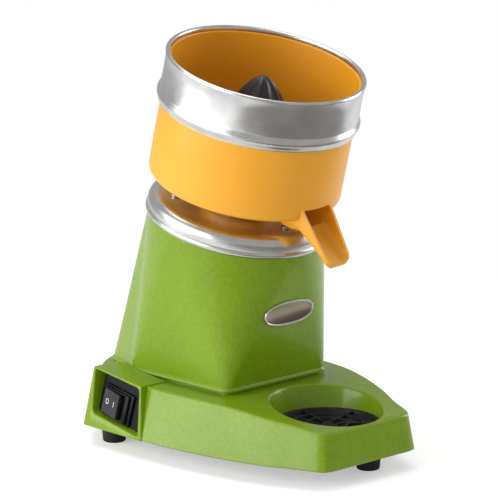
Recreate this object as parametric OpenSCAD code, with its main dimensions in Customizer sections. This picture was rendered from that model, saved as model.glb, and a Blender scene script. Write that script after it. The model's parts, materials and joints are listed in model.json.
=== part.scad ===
// Electric citrus press: a cast base with a cup well, a leaning motor column,
// a polished cap, and a juice bowl with a spout, a strainer and a ribbed cone.
// The front faces -Y, the ground is Z = 0. Sizes are in millimetres.

/* [Stance] */
// Lean of the motor and bowl axis toward the front, in degrees
axis_tilt = 14.7; // [13:0.1:16]
// Where that axis meets the ground, behind the centre
axis_y = 60; // [58:0.5:62]
// Underside of the base casting above the ground
foot_h = 16; // [13:0.5:20]
// Turn of the bowl on its axis, in degrees
bowl_turn = 5; // [-8:1:8]

/* [Base casting] */
// Centre to the front face
base_front = 151; // [149:0.5:155]
// Centre to the rear face
base_back = 142.5; // [141:0.5:145]
// Width across the widest part
base_w = 194; // [190:1:200]
// Top of the nose above the underside
nose_h = 30.7; // [28:0.5:33]
// Flat deck above the underside
deck_h = 44; // [43:0.5:46]
// Slope of the nose, in degrees
nose_slope = 8.3; // [7.5:0.1:9]
// Wall of the castings
wall = 5; // [4:0.5:6]
// Roof of the base under the deck
roof = 5; // [4:0.5:6]
// Rounding of the upper arris of the base
arris_r = 2.4; // [1.5:0.1:3]

/* [Cup well] */
// Centre of the well in front of the centre
well_y = 98.8; // [97:0.2:99.4]
// Radius of the well at its floor
well_r = 43.2; // [41:0.2:43.6]
// Growth of the well radius for each unit of height
well_flare = 0.19; // [0.12:0.01:0.2]
// Floor of the well above the underside
well_floor_h = 18; // [16:0.5:20]
// Floor thickness of the well
well_floor_t = 3; // [2:0.5:4]
// Rounding of the well rim
rim_fillet = 2.4; // [1:0.2:3]
// Thickness of the rubber cup tray
tray_h = 6; // [4:0.5:8]
// Gap round the cup tray
tray_gap = 0.5; // [0.3:0.1:1]

/* [Column] */
// Foot of the column above the deck
plinth_h = 2.1; // [1.5:0.1:3]
// Half width of the foot at its front corners
foot_front_x = 57.4; // [55:0.2:59]
// Front face of the foot in front of the centre
foot_front_y = 40.3; // [38:0.2:42]
// Half width of the foot at its side corners
foot_side_x = 62.7; // [61:0.2:65]
// Side corners behind the centre
foot_side_y = 71.4; // [68:0.2:74]
// Half width of the foot at its rear corners
foot_rear_x = 46; // [44:0.5:48]
// Rear corners behind the centre
foot_rear_y = 118; // [116:0.5:120]
// Overhang of the lip at the foot
lip_out = 1.3; // [0.8:0.1:1.8]
// Height of that lip
lip_h = 2; // [1.5:0.1:3]
// Radius of the round top of the column
top_r = 74.6; // [73:0.1:75.4]
// Ground to the top of the column, along the axis
top_s = 198; // [195:0.5:201]
// Thickness of the plate that closes the top
top_plate = 7; // [6:0.5:9]

/* [Cap] */
// Radius of the cap at its bead
cap_r = 77.4; // [76.6:0.1:78.4]
// Height of the cap to its flat
cap_h = 17.8; // [16.5:0.1:18]
// Radius of the boss that carries the bowl
boss_r = 27; // [25:0.5:29]
// Height of that boss above the flat
boss_h = 8; // [7:0.5:10]

/* [Bowl] */
// Outer radius of the bowl wall
bowl_r = 80.8; // [80:0.1:81.4]
// Underside of the bowl floor above the top of the column
bowl_z = 34; // [33.5:0.1:35]
// Height of the bowl wall from that underside
bowl_h = 104; // [102:0.2:105]
// Wall of the bowl
bowl_t = 2.8; // [2.4:0.1:3]
// Bore of the hub that clears the shaft
hub_bore = 9; // [8.5:0.1:9.5]
// Height of the metal band
band_h = 45.2; // [43:0.2:47]
// Sheet thickness of the metal band
band_t = 1.3; // [1:0.1:1.6]
// Half width of the spout at the bowl
spout_w = 18.3; // [17:0.2:20]
// Half width of the spout at its tip
spout_tip_w = 14.6; // [13:0.2:16]
// Reach of the spout from the axis
spout_reach = 112; // [108:0.5:116]

/* [Press cone and strainer] */
// Largest radius of the cone
cone_r = 36; // [34:0.5:38]
// Height of the cone
cone_h = 64.6; // [60:0.2:66]
// Cone tip above the top of the column
cone_tip_z = 130.8; // [129:0.2:133]
// Number of long ribs on the cone
rib_count = 10; // [8:1:12]
// Number of slots in each ring of the strainer
slot_count = 40; // [30:1:44]

/* [Motor] */
// Radius of the motor shaft
shaft_r = 6; // [5.5:0.1:6.5]
// Radius of the stator
stator_r = 46; // [43:0.5:47]
// Length of the laminated cores
core_len = 44; // [38:1:46]
// Radius of the rotor
rotor_r = 26; // [24:0.5:27]

/* [Switch] */
// Centre of the switch behind the centre
switch_y = 64; // [62:0.5:66]
// Centre of the switch above the underside
switch_h = 23; // [22:0.5:24]
// Width of the rocker
rocker_w = 21.2; // [20:0.2:22]
// Height of the rocker
rocker_h = 21; // [20:0.2:21.4]
// Throw of the rocker to either side, in degrees
rocker_throw = 7; // [5:0.5:8]

/* [Hidden] */

over = 1;            // overrun of every cut
gap = 0.3;           // clearance between pieces that lift apart
run = 0.05;          // radial clearance of a shaft in its hole
deck_z = foot_h + deck_h;
nose_z = foot_h + nose_h;
foot_z = deck_z + plinth_h;

// Helpers
function lerp(a, b, t) = a + (b - a) * t;
function smin(a, b, k) = let (h = max(k - abs(a - b), 0) / k) min(a, b) - h * h * k / 4;
function arc(c, r, a0, a1, n) = [for (i = [0:n]) let (a = lerp(a0, a1, i / n)) c + r * [cos(a), sin(a)]];
function at_z(ring, z) = [for (p = ring) [p.x, p.y, z]];
function mirrored(half) = concat(half, [for (i = [len(half) - 2:-1:1]) [-half[i].x, half[i].y]]);
function spline_pt(a, b, c, d, t) =
    (2 * b + (c - a) * t + (2 * a - 5 * b + 4 * c - d) * t * t + (3 * b - a - 3 * c + d) * t * t * t) / 2;
function spline_loop(c, n) = let (m = len(c))
    [for (i = [0:m - 1], k = [0:n - 1]) spline_pt(c[(i + m - 1) % m], c[i], c[(i + 1) % m], c[(i + 2) % m], k / n)];
function inward(r, i) = let (n = len(r), a = r[(i + n - 1) % n], b = r[(i + 1) % n], d = (b - a) / norm(b - a))
    [-d.y, d.x];
function inset(r, w) = [for (i = [0:len(r) - 1]) r[i] + w * inward(r, i)];

// Closed skin over a stack of rings, lowest ring first
module loft(rings) {
    n = len(rings[0]);
    m = len(rings);
    polyhedron(points = [for (r = rings) each r], convexity = 6, faces = concat(
        [[for (i = [0:n - 1]) i]],
        [[for (i = [n - 1:-1:0]) (m - 1) * n + i]],
        [for (j = [0:m - 2], i = [0:n - 1]) let (a = j * n + i, b = j * n + (i + 1) % n)
            each [[a, a + n, b + n], [a, b + n, b]]]));
}

module on_axis(s = 0) translate([0, axis_y, 0]) rotate([axis_tilt, 0, 0]) translate([0, 0, s]) children();
module turned(profile) rotate_extrude($fn = 144) polygon(profile);
module tube(r_out, r_in, z0, z1) translate([0, 0, z0]) difference() {
    cylinder(r = r_out, h = z1 - z0, $fn = 96);
    translate([0, 0, -over]) cylinder(r = r_in, h = z1 - z0 + 2 * over, $fn = 96);
}
module rod(r, z0, z1) translate([0, 0, z0]) cylinder(r = r, h = z1 - z0, $fn = 48);
module round_ring(count, r, phase = 0)
    for (i = [0:count - 1]) rotate([0, 0, phase + i * 360 / count]) translate([r, 0, 0]) children();

// Plan of the base: shares of the half width and of the front or rear reach, low outline then deck outline
plan_shares = [
    [0, -1, 0, -0.974], [0.258, -1, 0.247, -0.974], [0.479, -0.997, 0.448, -0.971],
    [0.562, -0.956, 0.531, -0.93], [0.66, -0.805, 0.603, -0.788], [0.791, -0.619, 0.714, -0.609],
    [0.912, -0.305, 0.825, -0.311], [0.969, -0.053, 0.871, -0.06], [0.985, 0.14, 0.881, 0.14],
    [1, 0.337, 0.887, 0.323], [0.979, 0.519, 0.861, 0.491], [0.907, 0.674, 0.794, 0.632],
    [0.789, 0.793, 0.691, 0.74], [0.619, 0.891, 0.541, 0.839], [0.34, 0.972, 0.299, 0.919],
    [0, 1, 0, 0.951]];
function plan_pt(x, y) = [x * base_w / 2, y * (y < 0 ? base_front : base_back)];
low_plan = spline_loop(mirrored([for (p = plan_shares) plan_pt(p[0], p[1])]), 2);
deck_plan = spline_loop(mirrored([for (p = plan_shares) plan_pt(p[2], p[3])]), 2);
nose_top_share = 0.974;
deck_blend = 4;      // softening of the line where nose and deck meet
base_edge = 1.2;     // rounding of the lower edge
core_share = 0.7;    // how far the deck rings close in
core_y = 40;         // point that they close in to
function deck_at(y) =
    smin(deck_z, nose_z + (y + nose_top_share * base_front) * tan(nose_slope), deck_blend);
function deck_ring(plan, t, drop) =
    [for (p = plan) let (q = lerp(p, [0, core_y], t)) [q.x, q.y, deck_at(q.y) - drop]];
function side_ring(low, high, t, z0, drop) =
    [for (i = [0:len(low) - 1]) let (q = lerp(low[i], high[i], t))
        [q.x, q.y, lerp(z0, deck_at(high[i].y) - drop, t)]];

module base_body() loft(concat(
    [at_z(inset(low_plan, base_edge), foot_h), at_z(low_plan, foot_h + base_edge)],
    [side_ring(low_plan, deck_plan, 1, foot_h + base_edge, arris_r)],
    [for (a = [45]) let (r = inset(deck_plan, arris_r * (1 - cos(a))))
        [for (i = [0:len(r) - 1]) [r[i].x, r[i].y, deck_at(deck_plan[i].y) - arris_r * (1 - sin(a))]]],
    [for (t = [0, 0.2, 0.4, core_share]) deck_ring(inset(deck_plan, arris_r), t, 0)]));

module base_cavity() loft(concat(
    [at_z(inset(low_plan, wall), foot_h - over)],
    [side_ring(inset(low_plan, wall), inset(deck_plan, wall + roof / 2), 1, foot_h, roof + arris_r)],
    [for (t = [0.05, 0.3, core_share]) deck_ring(inset(deck_plan, wall + roof / 2), t, roof)]));

// Cup well
well_floor_z = foot_h + well_floor_h;
well_wall = 4;       // wall of the well below the nose
function well_r_at(z) = well_r + well_flare * (z - well_floor_z);
module well_shape(grow, z0, z1) translate([0, -well_y, z0])
    cylinder(r1 = well_r_at(z0) + grow, r2 = well_r_at(z1) + grow, h = z1 - z0, $fn = 144);
rim_rise = 0.4;      // lift of the rim rounding, so that it meets the deck at an angle
rim_open = 40;       // angle between the rim rounding and the wall where they meet
rim_r = well_r_at(deck_at(-well_y));
rim_low = deck_at(-well_y - rim_r);
rim_high = deck_at(-well_y + rim_r);
rim_slope = atan((rim_high - rim_low) / rim_r / 2);
module rim_cut() translate([0, -well_y, (rim_low + rim_high) / 2 + rim_rise]) rotate([rim_slope, 0, 0])
    translate([0, well_flare * rim_r * sin(rim_slope), 0]) rotate_extrude($fn = 144) let (f = rim_fillet)
        polygon(concat([[rim_r - f, over + f], [rim_r - f, -2.2 * f]],
            arc([rim_r + 1.1 * f, -f], f, 180 - rim_open, 105, 4), [[rim_r + 2.2 * f, over + f]]));

// Switch housing on the left side
box_rear_low = 96;   // rear end of its foot
box_rear_top = 88;   // rear end of its top
box_front_low = 23;  // front end of its foot
box_front_top = 28;  // front end of its top
box_top_front = 45;  // front of its top above the underside
box_top_rear = 51.6; // rear of its top above the underside
box_depth = 21;      // thickness from its face inward
box_face_lean = 6.4; // lean of its face, in degrees
box_inner_x = 64.5;  // where its top meets the column
function yz(y, h) = [y, foot_h + h];
box_outline = [yz(box_rear_low, 0), yz(box_front_low, 0), yz(box_front_top, box_top_front),
    yz(box_rear_top, box_top_rear)];
// Corners of the opening, from the rear top on, each with its rounding
mouth_rear = 86;
mouth_front = 30.2;
mouth_top_rear = 49.6;
mouth_top_front = 42.8;
mouth_low_rear = 12.2;
mouth_low_front = 2.8;
mouth_r = 5;
mouth_sharp_r = 2;
mouth = [[yz(mouth_rear, mouth_top_rear), mouth_sharp_r], [yz(mouth_front, mouth_top_front), mouth_r],
    [yz(mouth_front - mouth_sharp_r, mouth_low_front), mouth_sharp_r], [yz(mouth_rear, mouth_low_rear), mouth_r]];
// Polygon with rounded corners, each corner given as [point, radius], clockwise or not
function corner_arc(a, b, c, r, n) = let (
    u = (a - b) / norm(a - b), v = (c - b) / norm(c - b), half = acos(u * v) / 2,
    m = (u + v) / norm(u + v), o = b + m * r / sin(half),
    s = b + u * r / tan(half) - o, e = b + v * r / tan(half) - o,
    a0 = atan2(s.y, s.x), turn = atan2(s.x * e.y - s.y * e.x, s * e))
    [for (i = [0:n]) o + r * [cos(a0 + turn * i / n), sin(a0 + turn * i / n)]];
function rounded(c, n) = let (m = len(c))
    [for (i = [0:m - 1]) each corner_arc(c[(i + m - 1) % m][0], c[i][0], c[(i + 1) % m][0], c[i][1], n)];
function shrunk(c, w) = let (o = (c[0][0] + c[1][0] + c[2][0] + c[3][0]) / 4)
    [for (p = c) [p[0] + [p[0].x > o.x ? -w : w, p[0].y > o.y ? -w : w], p[1]]];

// Solid over an outline in the YZ plane, from x0 to x1
module side_prism(points, x0, x1) translate([x0, 0, 0])
    multmatrix([[0, 0, 1, 0], [1, 0, 0, 0], [0, 1, 0, 0], [0, 0, 0, 1]])
        linear_extrude(x1 - x0) polygon(points);
module switch_box() difference() {
    side_prism(box_outline, -base_w / 2, box_depth - base_w / 2);
    translate([-base_w / 2, 0, foot_h]) rotate([0, box_face_lean, 0])
        translate([-2 * wall, 0, -wall]) cube([2 * wall, base_back, deck_h + 2 * wall]);
}
module switch_shelf() side_prism([yz(box_rear_low, box_top_front - wall), yz(box_front_top, box_top_front - wall),
    yz(box_front_top, box_top_front), yz(box_rear_top, box_top_rear)], box_depth - base_w / 2 - over, -box_inner_x);

// Places of screws, feet and bosses
// Front foot, then the rear feet, in shares of the half width and of the reach
feet_shares = [[0.241, -0.816], [-0.746, 0.59], [0.746, 0.59]];
function foot_at(i) = plan_pt(feet_shares[i].x, feet_shares[i].y);
bolt_inset = 10;     // column bolts in from the corners of the foot
bolt_places = [for (s = [-1, 1]) each [[s * (foot_front_x - bolt_inset), bolt_inset - foot_front_y],
    [s * (foot_rear_x - bolt_inset), foot_rear_y - bolt_inset]]];
bolt_r = 2.5;
bolt_pilot = 2.1;
bolt_head_r = 4.5;
bolt_head_h = 3.5;
bolt_len = 18;
boss_wall = 5;
cover_t = 1.5;       // sheet of the bottom cover
cover_z = foot_h;
inner_z = cover_z + cover_t;
screw_r = 2;
screw_head_r = 4;
screw_head_h = 2.6;
duct_r = 41;         // hole in the deck below the motor
duct_y = 44;
gland_x = -18;       // cable inlet at the rear
gland_z = foot_h + 20;
gland_r = 6;
gland_bore = 3.6;
gland_pad_r = 11;
gland_pad_y = base_back - over;
gland_pad_t = 16;    // depth of the pad that the gland passes through
gland_flange_t = 3;
nut_t = 4;
gland_out = 8.5;     // reach of the gland past the rear face

module base_casting() color("yellowgreen") difference() {
    union() {
        difference() { base_body(); base_cavity(); }
        intersection() {
            well_shape(well_wall, well_floor_z - well_floor_t, deck_z + over);
            translate([-base_w / 2, -well_y, deck_at(-well_y) - roof / 2]) rotate([nose_slope, 0, 0])
                translate([0, well_y + wall - base_front, -2 * deck_z]) cube([base_w, base_front, 2 * deck_z]);
        }
        for (i = [0:2]) translate([foot_at(i).x, foot_at(i).y, inner_z])
            cylinder(r = screw_r + boss_wall, h = deck_at(foot_at(i).y) - roof / 2 - inner_z, $fn = 48);
        translate([0, 0, deck_z - over]) linear_extrude(plinth_h + over) polygon(foot_plan(wall / 2));
        switch_box();
        switch_shelf();
        translate([gland_x, gland_pad_y, gland_z]) rotate([90, 0, 0])
            cylinder(r = gland_pad_r, h = gland_pad_t, $fn = 48);
    }
    well_shape(0, well_floor_z, deck_z + well_wall);
    rim_cut();
    side_prism(rounded(mouth, 6), -base_w, box_depth - base_w / 2 + over);
    translate([0, duct_y, deck_z - 2 * roof]) cylinder(r = duct_r, h = 4 * roof, $fn = 96);
    for (p = bolt_places) translate([p.x, p.y, deck_z - roof]) {
        cylinder(r = bolt_r + gap, h = 3 * roof, $fn = 32);
        translate([0, 0, -2 * bolt_head_h]) cylinder(r = bolt_head_r + over, h = 2 * bolt_head_h, $fn = 48);
    }
    for (i = [0:2]) translate([foot_at(i).x, foot_at(i).y, inner_z - over])
        cylinder(r = screw_r, h = over + 9 * screw_r / 2, $fn = 32);
    translate([gland_x, base_back + over, gland_z]) rotate([90, 0, 0])
        cylinder(r = gland_r + run, h = gland_pad_t + 2 * wall, $fn = 48);
    on_panel() slab(body_h + 4 * gap, body_w + 4 * gap, -2 * body_t, -panel_t);
}

// Column
foot_corner_r = [8, 12, 15]; // rounding at front, side and rear corners
foot_corners = [[foot_front_x, -foot_front_y], [foot_side_x, foot_side_y], [foot_rear_x, foot_rear_y]];
corner_turns = [[3, 87], [90, 132], [135, 177]]; // part of the round top that each corner fans out to
fan = 7;             // facets of each corner fan
function foot_half() = let (c = foot_corners, r = foot_corner_r) concat(
    corner_arc([0, c[0].y], c[0], c[1], r[0], fan), corner_arc(c[0], c[1], c[2], r[1], fan),
    corner_arc(c[1], c[2], [0, c[2].y], r[2], fan));
function both(half) = concat(half, [for (i = [len(half) - 1:-1:0]) [-half[i].x, half[i].y]]);
function foot_plan(w) = inset(both(foot_half()), w);
function top_angles() = [for (k = [0:2], i = [0:fan]) lerp(corner_turns[k][0], corner_turns[k][1], i / fan)];
function top_ring(r, s) = let (a = top_angles(), all = concat(a, [for (i = [len(a) - 1:-1:0]) -a[i]]))
    [for (t = all) [r * sin(t), axis_y - s * sin(axis_tilt) - r * cos(t) * cos(axis_tilt),
        s * cos(axis_tilt) - r * cos(t) * sin(axis_tilt)]];
function column_ring(low, high, t) = [for (i = [0:len(low) - 1]) lerp(low[i], high[i], t)];
shell_steps = 6;
module column_body() let (low = at_z(foot_plan(0), foot_z + lip_h + lip_out), high = top_ring(top_r, top_s - lip_h))
    loft(concat(
        [at_z(foot_plan(lip_out / 2 - lip_out), foot_z), at_z(foot_plan(-lip_out), foot_z + lip_h / 3),
            at_z(foot_plan(-lip_out), foot_z + lip_h)],
        [for (i = [0:shell_steps]) column_ring(low, high, i / shell_steps)],
        [top_ring(top_r - lip_out / 2, top_s)]));
module column_cavity() let (low = at_z(foot_plan(wall), foot_z - over),
        high = top_ring(top_r - wall, top_s - top_plate))
    loft([for (i = [0:shell_steps]) column_ring(low, high, i / shell_steps)]);
motor_screw_ring = 36;
cap_screw_ring = 56;
pilot_r = 30;        // hole in the top plate that centres the motor
module column_casting() color("yellowgreen") difference() {
    union() {
        difference() { column_body(); column_cavity(); }
        intersection() {
            column_body();
            for (p = bolt_places) translate([p.x, p.y, foot_z])
                cylinder(r = bolt_pilot + boss_wall, h = bolt_len, $fn = 48);
        }
        intersection() {
            column_body();
            on_axis(top_s - 2 * top_plate) round_ring(3, cap_screw_ring, -90) cylinder(r = screw_r + boss_wall, h = 2 * top_plate, $fn = 48);
        }
    }
    on_axis(top_s - top_plate - over) rod(pilot_r, 0, top_plate + 2 * over);
    on_axis(top_s - top_plate - over) round_ring(4, motor_screw_ring) rod(bolt_r + gap, 0, top_plate + 2 * over);
    on_axis(top_s - 2 * top_plate + over) round_ring(3, cap_screw_ring, -90) rod(screw_r, 0, 2 * top_plate);
    for (p = bolt_places) translate([p.x, p.y, foot_z - over]) cylinder(r = bolt_pilot, h = bolt_len - over, $fn = 32);
}

// Polished cap
cap_shoulder = 9;    // rounding of its shoulder
cap_bead_r = 2.6;    // bead round its foot
bead_turns = [-70, 60]; // part of the circle that the bead follows
cap_wall = 3;
cap_flat_r = cap_r - cap_shoulder;
function cap_outer(w) = concat(
    [[cap_r - cap_bead_r - w, 0]], arc([cap_r - cap_bead_r - w, cap_bead_r], cap_bead_r, bead_turns[0], bead_turns[1], 5),
    arc([cap_r - over - cap_shoulder - w, cap_h - w - cap_shoulder], cap_shoulder, 0, 84, 8),
    [[boss_r + wall, cap_h - w + over / 2]]);
seal_r = 14;
module motor_cap() color("silver") on_axis(top_s) difference() {
    turned(concat([[shaft_r + 3 * over, 0]], cap_outer(0),
        [[boss_r, cap_h + over], [boss_r, cap_h + boss_h - over], [boss_r - over, cap_h + boss_h], [shaft_r + 3 * over, cap_h + boss_h]]));
    difference() {
        turned([[motor_screw_ring - 2 * bolt_head_r, -over], [cap_r - 2 * cap_bead_r - wall, -over],
            [cap_r - 2 * cap_bead_r - wall, cap_h - cap_wall - cap_shoulder],
            [cap_flat_r - cap_wall, cap_h - cap_wall - over], [motor_screw_ring - 2 * bolt_head_r, cap_h - cap_wall]]);
        round_ring(3, cap_screw_ring, -90) rod(screw_r + boss_wall, 0, cap_h);
    }
    rod(seal_r, cap_h + boss_h - wall, cap_h + boss_h + over);
    round_ring(3, cap_screw_ring, -90) rod(screw_r + gap, -over, cap_h + 2 * over);
    round_ring(2, (boss_r + seal_r) / 2) rod(screw_r, cap_h + boss_h - wall, cap_h + boss_h + over);
}
module cap_screws() color("silver") on_axis(top_s) round_ring(3, cap_screw_ring, -90) difference() {
    union() {
        rod(screw_r - run, -top_plate, cap_h + over / 2);
        rod(screw_head_r, cap_h + over / 2, cap_h + over / 2 + screw_head_h / 2);
    }
    translate([0, 0, cap_h + screw_head_h]) cube([over, 2 * screw_head_r + over, screw_head_h + over], center = true);
}
peg_h = 5;
module bowl_pegs() color("silver") on_axis(top_s + cap_h + boss_h) round_ring(2, (boss_r + seal_r) / 2) rod(screw_r, -wall, peg_h);
module shaft_seal() color("dimgray") on_axis(top_s + cap_h + boss_h) turned([[shaft_r + run, -wall], [seal_r, -wall],
    [seal_r, 0], [shaft_r + 2 * over, 0], [shaft_r + run, -over]]);

// Bottom cover, feet and screws
cover_clear = 1.2;
slot_w = 5;
slot_len = 46;
module bottom_cover() color("silver") difference() {
    translate([0, 0, cover_z]) linear_extrude(cover_t) polygon(inset(low_plan, wall + cover_clear));
    for (i = [0:2]) translate([foot_at(i).x, foot_at(i).y, 0]) rod(screw_r + gap, 0, 2 * cover_z);
    for (i = [-3:3]) translate([i * 2.4 * slot_w - slot_w / 2, duct_y - slot_len / 2, 0])
        cube([slot_w, slot_len, 2 * cover_z]);
    side_prism(shrunk_box(), -base_w, box_depth - base_w / 2 + gap);
}
function shrunk_box() = [yz(box_rear_low + gap, -over), yz(box_front_low - gap, -over),
    yz(box_front_low - gap, box_top_front), yz(box_rear_low + gap, box_top_front)];
rubber_r = 11;
rubber_low_r = 9.6;
rubber_edge = 1.5;
module rubber_foot(i) color("dimgray") translate([foot_at(i).x, foot_at(i).y, 0]) difference() {
    turned([[0, 0], [rubber_low_r - rubber_edge, 0], [rubber_low_r, rubber_edge], [rubber_r, cover_z], [0, cover_z]]);
    rod(screw_head_r + gap, -over, screw_head_h + 2 * over);
    rod(screw_r + gap, 0, cover_z + over);
}
module foot_front() rubber_foot(0);
module foot_rear_left() rubber_foot(1);
module foot_rear_right() rubber_foot(2);
module foot_screws() color("silver") for (i = [0:2]) translate([foot_at(i).x, foot_at(i).y, 2 * over]) {
    rod(screw_head_r, 0, screw_head_h - over);
    rod(screw_r - run, 0, inner_z + 3 * screw_r);
}
module column_bolts() color("silver") for (p = bolt_places) translate([p.x, p.y, deck_z - roof]) {
    rod(bolt_head_r, -bolt_head_h, 0);
    rod(bolt_pilot - run, -bolt_head_h, roof + plinth_h + bolt_len - 4 * over);
}

// Ribbed rubber cup tray
tray_r = well_r_at(well_floor_z) - tray_gap;
tray_rim = 2.5;
tray_floor = 2;
tray_rib = 1.6;
module cup_tray() color("dimgray") translate([0, -well_y, well_floor_z]) {
    difference() {
        cylinder(r1 = tray_r, r2 = tray_r + well_flare * tray_h, h = tray_h, $fn = 144);
        translate([0, 0, tray_floor]) cylinder(r = tray_r - tray_rim, h = tray_h, $fn = 144);
    }
    tube(tray_r * 0.72, tray_r * 0.72 - tray_rib, tray_floor - gap, tray_h - over);
    tube(tray_r * 0.42, tray_r * 0.42 - tray_rib, tray_floor - gap, tray_h - over);
    for (a = [0:60:300]) rotate([0, 0, a + 15]) translate([tray_r * 0.2, -tray_rib / 2, tray_floor - gap])
        cube([tray_r * 0.8 - tray_rim / 2, tray_rib, tray_h - over - tray_floor + gap]);
}

// Bare oval plate on the front of the column
badge_a = 27.4;
badge_b = 10.7;
badge_z = 123.5;
badge_t = 1.2;
face_low = [-foot_front_y, foot_z];
face_high = [axis_y - top_s * sin(axis_tilt) - top_r * cos(axis_tilt), top_s * cos(axis_tilt) - top_r * sin(axis_tilt)];
face_lean = atan2(face_low[0] - face_high[0], face_high[1] - face_low[1]);
module badge_plate() color("silver")
    translate([0, lerp(face_low[0], face_high[0], (badge_z - face_low[1]) / (face_high[1] - face_low[1])) - run, badge_z])
        rotate([90 + face_lean, 0, 0]) linear_extrude(badge_t) polygon([for (a = [0:6:354])
            let (k = pow(pow(abs(cos(a)), 2.4) + pow(abs(sin(a)), 2.4), -1 / 2.4)) [badge_a * k * cos(a), badge_b * k * sin(a)]]);

// Switch
panel_lean = 8;      // lean of the panel, in degrees
panel_depth = 7.4;   // panel behind the face at the switch centre
panel_open = 5.8;    // opening left beside the top of the panel
switch_turn = 9.3;   // turn of the switch, in line with the opening, in degrees
panel_t = 2.5;
switch_z = foot_h + switch_h;
panel_x = -base_w / 2 + switch_h * tan(box_face_lean) + panel_depth;
frame_w = 36;
frame_h = 27;
frame_shift = 3;      // frame toward the front of the rocker
frame_t = 2.2;
step_w = 29.6;
step_h = 24.8;
step_t = 4.8;
rocker_t = 7.4;
rocker_gap = 1.4;
pivot_z = 2.6;
pivot_r = 1.2;       // trunnions of the rocker
pivot_reach = 1.2;
body_w = 25;
body_h = 24;
body_t = 22;
blade_w = 6;
module on_panel() translate([panel_x, switch_y, switch_z]) rotate([0, panel_lean - 90, 0])
    rotate([0, 0, -switch_turn]) children();
module slab(x, y, z0, z1) translate([-x / 2, -y / 2, z0]) cube([x, y, z1 - z0]);
module soft_slab(x, y, r, z0, z1) translate([0, 0, z0]) linear_extrude(z1 - z0) polygon(concat(
    arc([x / 2 - r, y / 2 - r], r, 0, 90, 4), arc([r - x / 2, y / 2 - r], r, 90, 180, 4),
    arc([r - x / 2, r - y / 2], r, 180, 270, 4), arc([x / 2 - r, r - y / 2], r, 270, 360, 4)));
function panel_corners() = let (c = shrunk(mouth, gap / 2), top = c[0][0] - c[1][0])
    [[c[0][0] - panel_open * top / top.x, c[0][1]], c[1], c[2], c[3]];
module switch_panel() color("dimgray") difference() {
    intersection() {
        side_prism(rounded(panel_corners(), 6), -base_w / 2, box_depth - base_w / 2 + 2 * wall);
        on_panel() slab(4 * frame_h, 4 * frame_w, -panel_t, 0);
    }
    on_panel() slab(body_h + gap, body_w + gap, -panel_t - over, over);
}
module switch_frame() color("dimgray") on_panel() difference() {
    translate([0, -frame_shift, 0]) {
        soft_slab(frame_h, frame_w, over, 0, frame_t);
        soft_slab(step_h, step_w, over, frame_t - over, step_t);
    }
    slab(rocker_h + 2 * gap, rocker_w + 2 * rocker_gap, -over, step_t + over);
    pivot_pin(pivot_r + run, pivot_reach + gap);
}
module pivot_pin(r, reach) translate([0, 0, pivot_z]) rotate([0, 90, 0])
    rod(r, -rocker_h / 2 - reach, rocker_h / 2 + reach);
module switch_body() color("dimgray") on_panel() difference() {
    union() {
        slab(body_h, body_w, -body_t, 0);
        for (i = [-1, 0, 1]) translate([i * body_h / 4, 0, 0]) slab(over, blade_w, -body_t - blade_w, -body_t + over);
    }
    slab(rocker_h + 2 * gap, rocker_w, -pivot_z, over);
}
module switch_rocker() color("gray") on_panel() {
    pivot_pin(pivot_r, pivot_reach);
    translate([0, 0, pivot_z]) rotate([-rocker_throw, 0, 0]) rotate([90, 0, 90])
        translate([0, 0, -rocker_h / 2]) linear_extrude(rocker_h) polygon([
        [-rocker_w / 2 + 2 * over, 1 - pivot_z * 0.8], [rocker_w / 2 - 2 * over, 1 - pivot_z * 0.8],
        [rocker_w / 2, pivot_z], [rocker_w / 2, rocker_t - pivot_z], [0, rocker_t - pivot_z - over / 2],
        [-rocker_w / 2, rocker_t - pivot_z], [-rocker_w / 2, pivot_z]]);
}

// Cable inlet
module along_y(x, y, z) translate([x, y, z]) rotate([-90, 0, 0]) children();
module cable_gland() color("dimgray") along_y(gland_x, gland_pad_y, gland_z) difference() {
    union() {
        rod(gland_r, -gland_pad_t - nut_t, gland_flange_t);
        cylinder(r = gland_r * 1.5, h = gland_flange_t, $fn = 6);
        turned([[0, gland_flange_t - over], [gland_r * 1.25, gland_flange_t - over], [gland_r * 1.25, gland_flange_t + over],
            [gland_r, base_back - gland_pad_y + gland_out], [0, base_back - gland_pad_y + gland_out]]);
    }
    rod(gland_bore, -gland_pad_t - 2 * nut_t, base_back - gland_pad_y + 2 * gland_out);
}
module gland_nut() color("dimgray") along_y(gland_x, gland_pad_y - gland_pad_t - nut_t, gland_z) difference() {
    cylinder(r = gland_r * 1.5, h = nut_t, $fn = 6);
    rod(gland_r + run, -over, nut_t + over);
}

// Electrical parts in the base
block_len = 42;
lead_run = 6;        // switch leads before the terminal block
block_x = panel_x + body_t + blade_w + wall + lead_run + block_len / 2;
cap_can_share = 0.577; // far end of the capacitor, of the half width
cap_can_r = 15;
cap_can_x = block_x + block_len / 2 + 3 * over;
cap_can_len = cap_can_share * base_w / 2 - cap_can_x;
cap_can_y = 98;
clip_t = 1.2;
can_z = inner_z + clip_t + cap_can_r;
module capacitor() color("whitesmoke") translate([cap_can_x, cap_can_y, can_z]) rotate([0, 90, 0]) {
    rod(cap_can_r, 0, cap_can_len);
    for (s = [-1, 1]) translate([s * cap_can_r / 2, 0, cap_can_len - over]) slab(over, blade_w, 0, blade_w + over);
}
module capacitor_clip() color("silver") translate([cap_can_x + cap_can_len / 3, cap_can_y, can_z]) {
    rotate([0, 90, 0]) tube(cap_can_r + clip_t, cap_can_r, 0, 2 * blade_w);
    difference() {
        translate([0, -2 * cap_can_r, inner_z - can_z]) cube([2 * blade_w, 4 * cap_can_r, clip_t]);
        rotate([0, 90, 0]) rod(cap_can_r + clip_t / 2, -over, 2 * blade_w + over);
    }
}
block_w = 18;
block_h = 15;
block_y = 108;
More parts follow.
